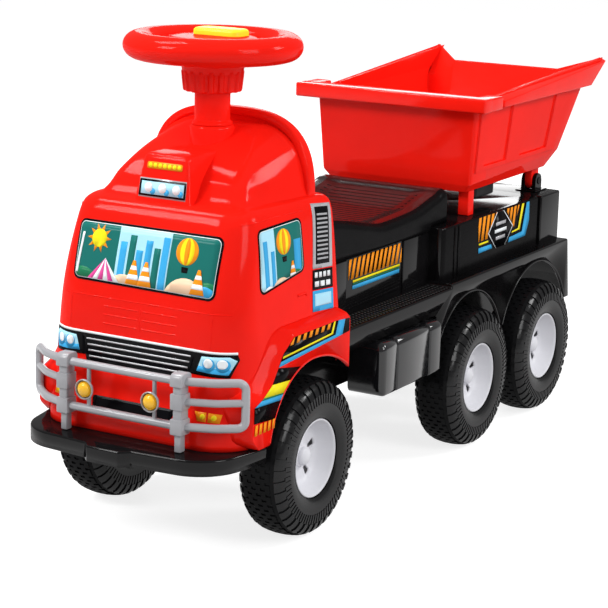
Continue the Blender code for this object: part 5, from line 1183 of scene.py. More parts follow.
def build_bed():
    red = Finishes.get("red")
    tub = piece("bed_tub", tub_shape(), "dump_bed", red, replaces=True)
    add_wall(tub, 0.0025)
    add_edges(tub, 0.0016, 31, 3)
    piece("bed_rims", bed_rims(), "dump_bed", Finishes.get("rim"))
    piece("bed_bands_and_lugs", bed_fittings(), "dump_bed", red)
    for _, hand in SIDES:
        dressed(f"bed_stop_block_{hand}", f"bed_stop_{hand}", Finishes.get("nylon"), 0.0006)
        dressed(f"hinge_cheeks_{hand}", f"hinge_bracket_{hand}", Finishes.get("black"), 0.0006)


# Steering wheel


def flute_ring(z, radius, depth):
    points = []
    for k in range(216):
        turn = 2 * math.pi * k / 216
        wave = math.cos(18 * turn)
        r = radius - depth * (0.5 - 0.5 * math.tanh(2.6 * wave))
        points.append((r * math.cos(turn), COLUMN_Y + r * math.sin(turn), z))
    return points


def steering_wheel_shape():
    """Rim, spokes, pad, neck and fluted collar."""
    centre = (0, COLUMN_Y, 0)
    rim_z, rim_radius, tube_radius = 0.4775, 0.0733, 0.0152
    shapes = [turned([(rim_z + 0.88 * a, rim_radius + b) for a, b in disc_outline((0, 0), tube_radius, 28)], "Z", 96, centre)]
    for k in range(3):
        spoke = block((0.034, -0.013, 0.469), (0.0733, 0.013, 0.4810), 0.0045, 5)
        turn = Matrix.Rotation(math.radians(90 - 8 + 120 * k), 4, "Z")
        bmesh.ops.transform(spoke, matrix=Matrix.Translation(centre) @ turn, verts=spoke.verts)
        shapes.append(spoke)
    pad = [(0.4665, 0.0), (0.4665, 0.0400), (0.4677, 0.0436), (0.4705, 0.0456), (0.4740, 0.0460), (0.4800, 0.0460),
           (0.4835, 0.0452), (0.4858, 0.0428), (0.4868, 0.0390), (0.4870, 0.0340), (0.4870, 0.0)]
    shapes.append(turned(pad, "Z", 72, centre, closed=False))
    neck = [(0.4515, 0.0), (0.4515, 0.0300), (0.4560, 0.0308), (0.4620, 0.0340), (0.4680, 0.0390), (0.4680, 0.0)]
    shapes.append(turned(neck, "Z", 64, centre, closed=False))
    levels = ((0.4333, 0.0278), (0.4339, 0.0288), (0.4352, 0.0294), (0.4440, 0.0304), (0.4522, 0.0312),
              (0.4536, 0.0308), (0.4541, 0.0298))
    shapes.append(loft([flute_ring(z, radius, 0.0026) for z, radius in levels]))
    return join(*shapes)


def horn_shape():
    """The yellow button with rolled edges."""
    low, high = HORN_LOW.z, HORN_HIGH.z
    middle = (HORN_LOW.y + HORN_HIGH.y) / 2 - AXLE_Y
    half_x, half_y = (HORN_HIGH.x - HORN_LOW.x) / 2, (HORN_HIGH.y - HORN_LOW.y) / 2
    rings = []
    for z, shrink in ((low, 0), (high - 0.0030, 0), (high - 0.0016, 0.0005), (high - 0.0006, 0.0015), (high, 0.0034)):
        x, y = half_x - shrink, half_y - shrink
        corners = [(-x, middle - y), (x, middle - y), (x, middle + y), (-x, middle + y)]
        rings.append([(u, v, z) for u, v in rounded(corners, 0.008 - shrink * 0.6, 6)])
    return loft(rings)


def build_steering():
    red = Finishes.get("red")
    piece("steering_wheel_moulding", steering_wheel_shape(), "steering_wheel", red, replaces=True)
    piece("horn_push", horn_shape(), "horn_button", Finishes.get("yellow"), replaces=True)
    bm = bmesh.new()
    bm.from_mesh(frame["nodes"]["horn_spring"].data)
    bmesh.ops.remove_doubles(bm, verts=bm.verts, dist=1e-5)
    coil = piece("horn_coil", bm, "horn_spring", Finishes.get("steel"), sharp=40, replaces=True, on_frame=True)
    low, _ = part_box("horn_spring")
    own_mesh(coil)
    low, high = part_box("column_sleeve")
    sleeve = [(low.z, 0.0150), (low.z, 0.0196), (low.z + 0.0010, 0.0202), (low.z + 0.0028, 0.0199),
              (low.z + 0.0042, 0.0180), (low.z + 0.0060, 0.0176), (high.z, 0.0176), (high.z, 0.0150)]
    bm = turned(sleeve, "Z", 56, (0, COLUMN_Y, 0))
    piece("column_tube", bm, "column_sleeve", red, replaces=True)


# Wheels


def tyre_shape(lugs, height):
    """A tyre round the X axis: bulging walls, lugged shoulders and a blocked tread."""
    top = WHEEL_RADIUS - height
    half = [(0.0, top), (0.0048, top - 0.0001), (0.0096, top - 0.0006), (0.0140, top - 0.0014), (0.0180, top - 0.0030),
            (0.0212, top - 0.0056), (0.0234, top - 0.0096), (0.0246, top - 0.0136), (0.0252, top - 0.0180),
            (0.0256, top - 0.0225), (0.0254, top - 0.0270), (0.0246, top - 0.0310), (0.0236, top - 0.0340),
            (0.0230, top - 0.0362), (0.0218, 0.0406)]
    profile = [(-a, r) for a, r in reversed(half)] + half[1:]
    steps = lugs * 4
    bm = turned(profile, "X", steps)

    def place_of(face):
        co = face.calc_center_median()
        turn = (math.atan2(co.y, co.z) / (2 * math.pi)) % 1.0
        return abs(co.x), math.hypot(co.y, co.z), turn * lugs, co.x

    def raise_faces(chosen, amount):
        grown = bmesh.ops.extrude_face_region(bm, geom=chosen)["geom"]
        bmesh.ops.delete(bm, geom=[f for f in chosen if f.is_valid], context="FACES_ONLY")
        for vert in [item for item in grown if isinstance(item, bmesh.types.BMVert)]:
            r = math.hypot(vert.co.y, vert.co.z)
            out = Vector((vert.co.x * 0.9, 0)) + Vector((0, r - 0.052))
            out = out.normalized() * amount
            vert.co.x += out.x
            vert.co.y *= (r + out.y) / r
            vert.co.z *= (r + out.y) / r

    shoulder, tread, ribs = [], [], []
    for face in bm.faces:
        across, radius, turn, x = place_of(face)
        if 0.0160 < across and radius > top - 0.0118:
            if turn % 1.0 < 0.5:
                shoulder.append(face)
        elif across < 0.0145 and radius > top - 0.0022:
            row = int((x + 0.0144) / 0.0048)
            if (turn + 0.5 * (row % 2)) % 1.0 < 0.72:
                tread.append(face)
        elif 0.0230 < across and top - 0.0205 < radius < top - 0.0120:
            if (turn * 2) % 1.0 < 0.5:
                ribs.append(face)
    raise_faces(shoulder, height)
    raise_faces(tread, height * 0.9)
    raise_faces(ribs, 0.0007)
    bmesh.ops.recalc_face_normals(bm, faces=bm.faces)
    bm.normal_update()
    for face in bm.faces:
        face.material_index = 1 if abs(face.normal.x) > 0.5 else 0
    return bm


def hub_shape():
    """A dished hub round the X axis: rolled lip, cone, slotted disc and axle boss."""
    profile = [(-0.0190, 0.0402), (0.0185, 0.0402), (0.0200, 0.0400), (0.0209, 0.0393), (0.0210, 0.0384),
               (0.0203, 0.0375), (0.0185, 0.0368), (0.0150, 0.0355), (0.0100, 0.0330), (0.0060, 0.0308),
               (0.0034, 0.0288), (0.0022, 0.0268), (0.0020, 0.0244), (0.0020, 0.0205), (0.0020, 0.0166),
               (0.0020, 0.0140), (0.0026, 0.0126), (0.0040, 0.0118), (0.0052, 0.0112), (0.0056, 0.0100),
               (0.0056, 0.0056)]
    bm = turned(profile, "X", 90, closed=False)
    slots = []
    for face in bm.faces:
        co = face.calc_center_median()
        radius = math.hypot(co.y, co.z)
        turn = math.degrees(math.atan2(co.y, co.z)) % 72
        if 0.0170 < radius < 0.0262 and abs(co.x - 0.0020) < 0.0004 and min(turn, 72 - turn) < 9:
            slots.append(face)
    bmesh.ops.delete(bm, geom=slots, context="FACES")
    return bm


def hub_boss_shape():
    return turned([(-0.030, 0.0056), (-0.030, 0.0100), (-0.0294, 0.0105), (0.0, 0.0105), (0.0, 0.0056)], "X", 40)


def cap_shape():
    """A domed cap on an axle's end."""
    profile = [(0.0023, 0.0056), (0.0023, 0.0095), (0.0075, 0.0095)]
    for k in range(1, 8):
        turn = math.pi / 2 * k / 7
        profile.append((0.0075 + 0.0053 * math.sin(turn), 0.0095 * math.cos(turn)))
    profile[-1] = (profile[-1][0], 0.0)
    return turned(profile, "X", 40, closed=False)


def build_wheels(lugs, height):
    tyre, hub, boss, cap = tyre_shape(lugs, height), hub_shape(), hub_boss_shape(), cap_shape()
    for row in ("front", "middle", "rear"):
        for side, hand in SIDES:
            centre = middle_of(f"{row}_tyre_{hand}")
            turn = Matrix.Translation(centre) @ Matrix.Rotation(0 if side > 0 else math.pi, 4, "Z")

            def placed(shape):
                bm = shape.copy()
                bmesh.ops.transform(bm, matrix=turn, verts=bm.verts)
                return bm

            piece(f"{row}_tyre_{hand}_tread", placed(tyre), f"{row}_tyre_{hand}", Finishes.get("tyre"),
                  Finishes.get("tyre_side"), sharp=28, replaces=True, on_frame=True)
            dish = piece(f"{row}_hub_{hand}_dish", placed(hub), f"{row}_hub_{hand}", Finishes.get("white"),
                         replaces=True, on_frame=True)
            add_wall(dish, 0.0022)
            piece(f"{row}_hub_{hand}_boss", placed(boss), f"{row}_hub_{hand}", Finishes.get("white"), on_frame=True)
            piece(f"{row}_axle_cap_{hand}_dome", placed(cap), f"{row}_axle_cap_{hand}", Finishes.get("white"),
                  replaces=True, on_frame=True)
    for shape in (tyre, hub, boss, cap):
        shape.free()


# Pieces that keep the frame's own shape

PLAIN_NODES = {
    "black": ("chassis_frame", "front_axle_beam", "tie_rod", "knuckle_left", "knuckle_right"),
    "steel": ("steering_shaft", "kingpin_left", "kingpin_right", "stub_axle_left", "stub_axle_right", "middle_axle",
              "rear_axle"),
    "nylon": ("column_bush", "hinge_pin_left", "hinge_pin_right"),
}


def dress_inner_parts():
    for finish, nodes in PLAIN_NODES.items():
        for node in nodes:
            data = frame["nodes"][node].data
            data.materials.clear()
            data.materials.append(Finishes.get(finish))


# Prints


def screen_layers(corners, art):
    """A window print: dark border, pale line and tinted glass with a picture trimmed to it."""
    layers = [("ink", rounded(corners, 0.0075, 6), None)]
    layers.append(("pale", rounded(inset_outline(corners, 0.0022), 0.0056, 6), None))
    glass = rounded(inset_outline(corners, 0.0028), 0.0051, 6)
    layers.append(("glass", glass, None))
    for finish, outline in art:
        layers.append((finish, outline, [tuple(p) for p in glass]))
    return layers


def cone_art(x, foot, tall):
    """A striped road cone."""
    half = tall * 0.36

    def slice_at(low, high):
        a, b = half * (1 - low * 0.82), half * (1 - high * 0.82)
        return [(x - a, foot + tall * low), (x + a, foot + tall * low), (x + b, foot + tall * high),
                (x - b, foot + tall * high)]

    return [("orange", slice_at(0, 1)), ("pale", slice_at(0.22, 0.42)), ("pale", slice_at(0.62, 0.78))]


def balloon_art(x, z, radius):
    """A striped hot-air balloon with its basket."""
    art = [("orange", disc_outline((x, z), radius))]
    art.append(("lemon", [(x + 0.62 * u, z + v) for u, v in disc_outline((0, 0), radius)]))
    art.append(("orange", [(x + 0.22 * u, z + v) for u, v in disc_outline((0, 0), radius)]))
    low, wide = z - radius * 1.55, radius * 0.26
    art.append(("ink", [(x - wide, low), (x + wide, low), (x + wide * 1.2, low + wide * 1.6),
                        (x - wide * 1.2, low + wide * 1.6)]))
    return art


def sun_art(x, z, radius):
    """A sun with rays."""
    art = []
    for k in range(10):
        turn = 2 * math.pi * k / 10
        tip = (x + 1.65 * radius * math.cos(turn), z + 1.65 * radius * math.sin(turn))
        a, b = ((x + 0.9 * radius * math.cos(turn + d), z + 0.9 * radius * math.sin(turn + d)) for d in (0.28, -0.28))
        art.append(("orange", [b, tip, a]))
    return [*art, ("lemon", disc_outline((x, z), radius))]


def tent_art(x, foot, half, tall):
    """A striped tent."""
    art = []
    for k in range(6):
        a, b = x - half + half * k / 3, x - half + half * (k + 1) / 3
        art.append(("berry" if k % 2 == 0 else "pale", [(a, foot), (b, foot), (x, foot + tall)]))
    return art


def windscreen_print():
    corners = [(-0.0817, 0.2555), (0.0820, 0.2533), (0.0823, 0.3124), (-0.0840, 0.3124)]
    art = [("sky", [(-0.034, 0.24), (0.026, 0.24), (0.026, 0.33), (-0.034, 0.33)])]
    for x, top, finish in ((-0.031, 0.296, "blue"), (-0.021, 0.303, "glass"), (-0.012, 0.290, "blue"),
                           (-0.002, 0.300, "blue"), (0.008, 0.294, "glass"), (0.017, 0.305, "blue")):
        art.append((finish, [(x, 0.25), (x + 0.0075, 0.25), (x + 0.0075, top), (x, top)]))
    art += [
        ("leaf", disc_outline((-0.072, 0.2420), 0.0260)),
        ("leaf", disc_outline((0.072, 0.2430), 0.0270)),
        ("sand", disc_outline((-0.022, 0.2420), 0.0240)),
        ("sand", disc_outline((0.048, 0.2460), 0.0250)),
        ("blue", disc_outline((0.070, 0.2500), 0.0160)),
    ]
    art += sun_art(-0.057, 0.2960, 0.0085)
    art += tent_art(-0.046, 0.2560, 0.0200, 0.0225)
    art += balloon_art(0.045, 0.2950, 0.0125)
    for x in (-0.012, 0.002, 0.062):
        art += cone_art(x, 0.2572, 0.0230)
    art.append(("pale", [(-0.0790, 0.262), (-0.0765, 0.262), (-0.0745, 0.300), (-0.0770, 0.300)]))
    print_sheet("windscreen_print", "cab_shell", on_front, screen_layers(corners, art), mirror=False)


def side_window_print():
    corners = [(-0.0766, 0.2542), (0.0040, 0.2669), (0.0020, 0.3198), (-0.0720, 0.3168)]
    art = [
        ("sky", [(-0.076, 0.24), (-0.046, 0.24), (-0.046, 0.33), (-0.076, 0.33)]),
        ("blue", [(-0.066, 0.24), (-0.059, 0.24), (-0.059, 0.305), (-0.066, 0.305)]),
        ("blue", [(-0.054, 0.24), (-0.048, 0.24), (-0.048, 0.294), (-0.054, 0.294)]),
        ("blue", [(-0.014, 0.24), (-0.002, 0.24), (-0.002, 0.300), (-0.014, 0.300)]),
        ("leaf", disc_outline((-0.012, 0.2520), 0.0190)),
        ("sand", disc_outline((-0.038, 0.2480), 0.0190)),
        ("pale", disc_outline((-0.060, 0.2500), 0.0120)),
    ]
    art += balloon_art(-0.031, 0.3005, 0.0125)
    art += cone_art(-0.018, 0.2600, 0.0200)
    print_sheet("side_window_print", "cab_shell", on_side, screen_layers(corners, art))


def grille_print():
    """The grille with its bars, the headlights beside it, the line above, and the dark slot below, whose black ink is
    painted shade for its recess.
    """
    lamp = [(0.0679, 0.1868), (0.0985, 0.1850), (0.1040, 0.1985), (0.0985, 0.2022), (0.0728, 0.2012)]
    layers = [("pale", [(-0.104, 0.2040), (0.104, 0.2040), (0.104, 0.2066), (-0.104, 0.2066)], None)]
    layers.append(("ink", [(-0.0585, 0.1765), (0.0585, 0.1765), (0.0680, 0.2042), (-0.0680, 0.2042)], None))
    for side in (1, -1):
        surround = [(0.0600, 0.1835), (0.1000, 0.1822), (0.1055, 0.1990), (0.1040, 0.2042), (0.0660, 0.2042)]
        flip = [(side * x, z) for x, z in surround]
        layers.append(("ink", flip[::side], None))
    for k in range(4):
        z, half = 0.1993 - 0.0056 * k, 0.0605 - 0.0014 * k
        bar = [(-half, z - 0.0008), (half, z - 0.0008), (half, z + 0.0008), (-half, z + 0.0008)]
        layers.append(("silver", bar, None))
    for side in (1, -1):
        clip = [(side * x, z) for x, z in lamp][::side]
        layers.append(("sky", clip, None))
        layers.append(("blue", [(side * x, z) for x, z in ((0.060, 0.180), (0.110, 0.180), (0.110, 0.1895),
                                                            (0.060, 0.1925))][::side], clip))
        for x in (0.0805, 0.0935):
            layers.append(("blue", disc_outline((side * x, 0.1938), 0.0062, 20), clip))
            layers.append(("pale", disc_outline((side * (x - 0.0006), 0.1952), 0.0046, 16), clip))
    # Painted shade: a black ink sheet stands for the shade inside the recessed slot below the grille
    slot = rounded([(-0.045, 0.1310), (0.045, 0.1310), (0.0475, 0.1462), (-0.0475, 0.1462)], 0.002, 3)
    layers.append(("ink", slot, None))
    print_sheet("grille_print", "cab_shell", on_front, layers, pitch=0.006, mirror=False)
    fog = [
        ("orange", [(0.0700, 0.1490), (0.0745, 0.1405), (0.0835, 0.1405), (0.0825, 0.1490)], None),
        ("orange", [(0.0845, 0.1490), (0.0850, 0.1405), (0.0960, 0.1400), (0.0970, 0.1480)], None),
        ("lemon", disc_outline((0.0790, 0.1450), 0.0026, 16), None),
        ("lemon", disc_outline((0.0902, 0.1446), 0.0026, 16), None),
    ]
    print_sheet("fog_print", "cab_shell", on_front, fog, pitch=0.005)


def vent_print():
    """The louvre panel behind the door with two plain labels below it."""

    def at(u, v):
        """Share across and down the slanted panel, as a place on the cab's side."""
        top = Vector((0.0235, 0.3290)).lerp(Vector((0.0560, 0.3262)), u)
        foot = Vector((0.0160, 0.2228)).lerp(Vector((0.0560, 0.2200)), u)
        return tuple(foot.lerp(top, v))

    def quad(u0, v0, u1, v1):
        return [at(u0, v0), at(u1, v0), at(u1, v1), at(u0, v1)]

    layers = [("silver", quad(0, 0.40, 1, 1), None), ("ink", quad(0.15, 0.44, 0.85, 0.97), None)]
    for k in range(11):
        v = 0.49 + 0.41 * k / 10
        layers.append(("silver", quad(0.22, v - 0.009, 0.78, v + 0.009), None))
    layers.append(("ink", quad(0.0, 0.205, 1, 0.39), None))
    for k in range(4):
        layers.append(("pale", quad(0.10 + 0.21 * k, 0.315, 0.24 + 0.21 * k, 0.365), None))
    for k in range(3):
        layers.append(("pale", quad(0.10 + 0.28 * k, 0.230, 0.31 + 0.28 * k, 0.280), None))
    layers.append(("blue", quad(0.0, 0.0, 1, 0.195), None))
    layers.append(("sky", quad(0.10, 0.05, 0.90, 0.165), None))
    print_sheet("vent_print", "cab_shell", on_side, layers, pitch=0.006)


def slanted(y, low, high, width, lean):
    return [(y, low), (y + width, low), (y + width + lean, high), (y + lean, high)]


def fender_print():
    """Bands that follow the wheel arch, with slanted dashes."""
    upper = [(-0.0680, 0.1868), (0.0535, 0.1945), (0.0690, 0.1955), (0.0690, 0.2090), (0.0420, 0.2110),
             (-0.0400, 0.2110), (-0.0590, 0.1985)]
    clip = upper
    layers = [("ink", upper, None)]
    layers.append(("blue", [(-0.0680, 0.1868), (0.0545, 0.1945), (0.0600, 0.2110), (0.0460, 0.2110),
                            (0.0405, 0.1972), (-0.0640, 0.1915)], clip))
    layers.append(("lemon", [(-0.0615, 0.1940), (0.0350, 0.1988), (0.0400, 0.2110), (0.0365, 0.2110),
                             (0.0318, 0.2006), (-0.0600, 0.1960)], clip))
    for k in range(7):
        y = -0.0480 + 0.0117 * k
        layers.append(("orange", slanted(y, 0.2042 + 0.0002 * k, 0.2130, 0.0058, 0.0036), clip))
    print_sheet("fender_upper_print", "cab_shell", on_wall(FLARE_FACE), layers, pitch=0.1)

    def arch_edge(z):
        return -math.sqrt((ARCH_RADIUS + 0.0022) ** 2 - (z - ARCH_Z) ** 2)

    def band(finish, low_front, low_rear, high_front, high_rear):
        return (finish, [low_front, (arch_edge(low_rear), low_rear), (arch_edge(high_rear), high_rear), high_front],
                None)

    layers = [
        band("ink", (-0.0785, 0.1722), 0.1698, (-0.0680, 0.1862), 0.1790),
        band("lemon", (-0.0940, 0.1625), 0.1600, (-0.0785, 0.1722), 0.1698),
        band("leaf", (-0.0985, 0.1608), 0.1588, (-0.0940, 0.1625), 0.1600),
        band("blue", (-0.1105, 0.1565), 0.1540, (-0.0985, 0.1608), 0.1588),
        band("ink", (-0.1112, 0.1412), 0.1380, (-0.1105, 0.1565), 0.1540),
    ]
    for k in range(5):
        y = -0.1105 + 0.0078 * k
        layers.append(("orange", slanted(y, 0.1290, 0.1392 - 0.0002 * k, 0.0047, 0.0012), None))
    print_sheet("fender_lower_print", "cab_shell", on_wall(FLARE_FACE), layers, pitch=0.1)


def box_prints():
    """Slanted stripes on the seat box, and stripes, a plain hexagon and a chevron on the load box."""
    wall = on_wall(0.0806)
    clip = [(0.1450, 0.2275), (0.2600, 0.2275), (0.2600, 0.2492), (0.1450, 0.2492)]
    layers = []
    for k in range(13):
        layers.append(("orange", slanted(0.1400 + 0.0096 * k, 0.2275, 0.2492, 0.0056, 0.0060), clip))
    layers.append(("lemon", [(0.1545, 0.2233), (0.2597, 0.2233), (0.2597, 0.2257), (0.1545, 0.2257)], None))
    layers.append(("leaf", [(0.1545, 0.2210), (0.2597, 0.2210), (0.2597, 0.2226), (0.1545, 0.2226)], None))
    layers.append(("blue", [(0.1540, 0.2160), (0.2590, 0.2160), (0.2590, 0.2203), (0.1540, 0.2203)], None))
    print_sheet("seat_box_print", "rear_body", wall, layers, pitch=0.1)
    wall = on_wall(0.1001)
    left = [(0.4170, 0.2265), (0.4430, 0.2265), (0.4640, 0.2545), (0.4150, 0.2545)]
    right = [(0.5130, 0.2290), (0.5270, 0.2545), (0.4890, 0.2545)]
    layers = []
    for k in range(5):
        layers.append(("orange", slanted(0.4120 + 0.0110 * k, 0.2265, 0.2545, 0.0068, 0.0050), left))
    for k in range(4):
        layers.append(("orange", slanted(0.4880 + 0.0098 * k, 0.2290, 0.2545, 0.0062, 0.0050), right))
    layers += [
        ("lemon", [(0.4183, 0.2218), (0.4440, 0.2220), (0.4430, 0.2243), (0.4183, 0.2241)], None),
        ("blue", [(0.4180, 0.2127), (0.4550, 0.2132), (0.4515, 0.2185), (0.4180, 0.2188)], None),
        ("lemon", [(0.5065, 0.2232), (0.5300, 0.2240), (0.5400, 0.2545), (0.5335, 0.2545), (0.5250, 0.2262),
                   (0.5080, 0.2250)], None),
        ("blue", [(0.4980, 0.2130), (0.5470, 0.2137), (0.5560, 0.2320), (0.5545, 0.2545), (0.5470, 0.2545),
                  (0.5360, 0.2205), (0.5005, 0.2188)], None),
        ("pale", [(0.4630, 0.2120), (0.4885, 0.2120), (0.5095, 0.2325), (0.4815, 0.2545), (0.4630, 0.2545),
                  (0.4405, 0.2325)], None),
        ("ink", [(0.4642, 0.2120), (0.4873, 0.2120), (0.5070, 0.2325), (0.4800, 0.2545), (0.4645, 0.2545),
                 (0.4430, 0.2325)], None),
    ]
    for k, (finish, half) in enumerate((("silver", 0.0135), ("pale", 0.0160), ("silver", 0.0125))):
        z = 0.2405 - 0.0085 * k
        layers.append((finish, [(0.4745 - half, z - 0.0020), (0.4745 + half, z - 0.0020), (0.4745 + half, z + 0.0020),
                                (0.4745 - half, z + 0.0020)], None))
    print_sheet("load_box_print", "rear_body", wall, layers, pitch=0.1)


def pod_front(x, z):
    return Vector((x, -0.0845 + 0.009 * (z - 0.330) / 0.0495, z))


def roof_lamp_print():
    place = lambda u, v, lift: lifted(pod_front, u, v, lift)
    layers = [
        ("silver", [(-0.0272, 0.3376), (0.0272, 0.3376), (0.0268, 0.3560), (-0.0268, 0.3560)], None),
        ("ink", rounded([(-0.0270, 0.3388), (0.0270, 0.3388), (0.0266, 0.3548), (-0.0266, 0.3548)], 0.001, 3), None),
        ("sky", [(-0.0245, 0.3408), (0.0245, 0.3408), (0.0243, 0.3528), (-0.0243, 0.3528)], None),
    ]
    for x in (-0.0160, 0.0, 0.0160):
        layers.append(("blue", disc_outline((x + 0.0050, 0.3436), 0.0030, 18), None))
        layers.append(("pale", disc_outline((x, 0.3472), 0.0046, 22), None))
    layers.append(("orange", rounded([(-0.0205, 0.3650), (0.0205, 0.3650), (0.0200, 0.3716), (-0.0200, 0.3716)],
                                     0.002, 3), None))
    for k in range(7):
        layers.append(("lemon", disc_outline((-0.0165 + 0.0055 * k, 0.3683), 0.0022, 16), None))
    print_sheet("roof_lamp_print", "cab_shell", place, layers, pitch=0.1, mirror=False)


# Stage

CAMERA_PLACE = Vector((1.07876, -1.66608, 0.68632))
CAMERA_TURN = (30.19658, 13.19952, 1.41188)
CAMERA_LENS = 120.083
CAMERA_SHIFT = (0.00414, -0.00069)


def add_camera():
    azimuth, elevation, roll = (math.radians(angle) for angle in CAMERA_TURN)
    back = Vector((math.sin(azimuth) * math.cos(elevation), -math.cos(azimuth) * math.cos(elevation),
                   math.sin(elevation)))
    right = Vector((math.cos(azimuth), math.sin(azimuth), 0))
    up = back.cross(right)
    across = right * math.cos(roll) + up * math.sin(roll)
    above = up * math.cos(roll) - right * math.sin(roll)
    data = bpy.data.cameras.new("camera")
    data.lens = CAMERA_LENS
    data.sensor_width = 36
    data.sensor_fit = "HORIZONTAL"
    data.shift_x, data.shift_y = CAMERA_SHIFT
    camera = bpy.data.objects.new("camera", data)
    turn = Matrix((across, above, back)).transposed().to_4x4()
    camera.matrix_world = Matrix.Translation(CAMERA_PLACE + Vector((0, AXLE_Y, 0))) @ turn
    bpy.context.scene.collection.objects.link(camera)
    bpy.context.scene.camera = camera


def seen_directly(nodes, links):
    """1 for camera, glossy and transmission rays, otherwise 0."""
    path = nodes.new("ShaderNodeLightPath")
    total = path.outputs["Is Camera Ray"]
    for name in ("Is Glossy Ray", "Is Transmission Ray"):
        add = nodes.new("ShaderNodeMath")
        add.operation = "ADD"
        add.use_clamp = True
        links.new(total, add.inputs[0])
        links.new(path.outputs[name], add.inputs[1])
        total = add.outputs[0]
    return total


def add_world(ambient):
    world = bpy.data.worlds.new("studio")
    bpy.context.scene.world = world
    world.use_nodes = True
    light = world.node_tree.nodes["Background"]
    light.inputs["Color"].default_value = (1, 1, 1, 1)
    light.inputs["Strength"].default_value = ambient


def add_floor(glow):
    bm = bmesh.new()
    bmesh.ops.create_grid(bm, x_segments=2, y_segments=2, size=14)
    mesh = bpy.data.meshes.new("floor")
    bm.to_mesh(mesh)
    bm.free()
    floor = bpy.data.objects.new("floor", mesh)
    floor.location = (0, 0, -0.0004)
    bpy.context.scene.collection.objects.link(floor)
    made = bpy.data.materials.new("floor_paper")
    made.use_nodes = True
    nodes, links = made.node_tree.nodes, made.node_tree.links
    nodes.remove(nodes["Principled BSDF"])
    paper = nodes.new("ShaderNodeBsdfDiffuse")
    paper.inputs["Color"].default_value = (0.42, 0.42, 0.42, 1)
    light = nodes.new("ShaderNodeEmission")
    strength = nodes.new("ShaderNodeMath")
    strength.operation = "MULTIPLY"
    strength.inputs[1].default_value = glow
    links.new(seen_directly(nodes, links), strength.inputs[0])
    links.new(strength.outputs[0], light.inputs["Strength"])
    add = nodes.new("ShaderNodeAddShader")
    links.new(paper.outputs[0], add.inputs[0])
    links.new(light.outputs[0], add.inputs[1])
    links.new(add.outputs[0], nodes["Material Output"].inputs["Surface"])
    mesh.materials.append(made)


def add_lamp(name, place, target, size, power):
    data = bpy.data.lights.new(name, "AREA")
    data.shape = "RECTANGLE"
    data.size, data.size_y = size
    data.energy = power
    lamp = bpy.data.objects.new(name, data)
    lamp.visible_camera = False
    lamp.location = place
    lamp.rotation_euler = (Vector(target) - Vector(place)).to_track_quat("-Z", "Y").to_euler()
    bpy.context.scene.collection.objects.link(lamp)


def build_stage(stage):
    scene = bpy.context.scene
    scene.view_settings.view_transform = "Standard"
    add_camera()
    add_world(stage.ambient)
    add_floor(stage.floor_glow)
    middle = (0, 0, 0.22)
    add_lamp("key_softbox", (-1.2, -2.0, 1.8), middle, (0.8, 0.8), stage.key_power)
    add_lamp("side_softbox", (2.1, -0.6, 1.3), middle, (0.9, 1.2), stage.side_power)
    add_lamp("back_softbox", (-1.3, 2.3, 1.0), middle, (1.2, 0.8), stage.back_power)
    add_lamp("top_softbox", (-1.05, -0.45, 2.3), middle, (0.6, 0.9), stage.top_power)
    add_lamp("rim_softbox", (1.5, 0.95, 1.45), middle, (0.5, 0.5), stage.rim_power)


# Properties, operators and panel


def colour_property(name, description, default):
    return FloatVectorProperty(
        name=name, description=description, subtype="COLOR", size=3, min=0.0, max=1.0, default=default
    )


class TruckPaint(PropertyGroup):
    """Colours of the mouldings and of the print inks."""

    red: colour_property("Red", "Cab, bed and steering wheel", (0.87, 0.012, 0.006))
    black: colour_property("Black", "Rear body, bumper and frame", (0.0045, 0.0042, 0.0046))
    tank: colour_property("Tank black", "Fuel tanks", (0.008, 0.008, 0.009))
    # Painted shade: near black for the shade inside the cab and flares; the cab moulding itself is red
    inner: colour_property("Inner black", "Inside of the cab", (0.006, 0.006, 0.006))
    # Black with a painted reflection: the red tint stands for the red bed reflected in the saddle's top
    seat: colour_property("Seat black", "Saddle seat", (0.018, 0.0075, 0.0075))
    grey: colour_property("Grey", "Bull bar", (0.34, 0.34, 0.36))
    white: colour_property("White", "Wheel hubs", (0.70, 0.70, 0.74))
    amber: colour_property("Amber", "Fog lamp lenses", (0.93, 0.50, 0.03))
    yellow: colour_property("Yellow", "Horn button", (0.93, 0.78, 0.03))
    tyre: colour_property("Tyre black", "Tyres", (0.0062, 0.0062, 0.0068))
    nylon: colour_property("Dark nylon", "Bush and bed stops", (0.020, 0.020, 0.021))
    steel: colour_property("Steel", "Rods and pins", (0.60, 0.60, 0.62))
    silver: colour_property("Silver ink", "Louvres and grille bars", (0.42, 0.42, 0.44))
    ink: colour_property("Black ink", "Borders and bands", (0.003, 0.003, 0.004))
    pale: colour_property("Pale ink", "Lines and lamps", (0.86, 0.90, 0.92))
    glass: colour_property("Glass ink", "Tinted glass", (0.015, 0.16, 0.14))
    sky: colour_property("Sky ink", "Pale blue", (0.42, 0.75, 0.90))
    blue: colour_property("Blue ink", "Bands and lamps", (0.05, 0.38, 0.72))
    orange: colour_property("Orange ink", "Slanted stripes", (0.93, 0.30, 0.015))
    sun: colour_property("Sun ink", "Cones and rings", (0.93, 0.36, 0.02))
    lemon: colour_property("Lemon ink", "Bands and dots", (0.93, 0.80, 0.02))
    leaf: colour_property("Leaf ink", "Dark green", (0.02, 0.20, 0.09))
    berry: colour_property("Berry ink", "Pink", (0.72, 0.08, 0.32))
    sand: colour_property("Sand ink", "Warm beige", (0.90, 0.62, 0.42))


class TruckDetail(PropertyGroup):
    """Sizes of the fine shapes."""

    tyre_lugs: IntProperty(name="Tyre lugs", description="Lugs round a tyre", default=40, min=16, max=80)
    lug_height: FloatProperty(
        name="Lug height", description="Height of the lugs above the tread", default=0.0013, unit="LENGTH"
    )


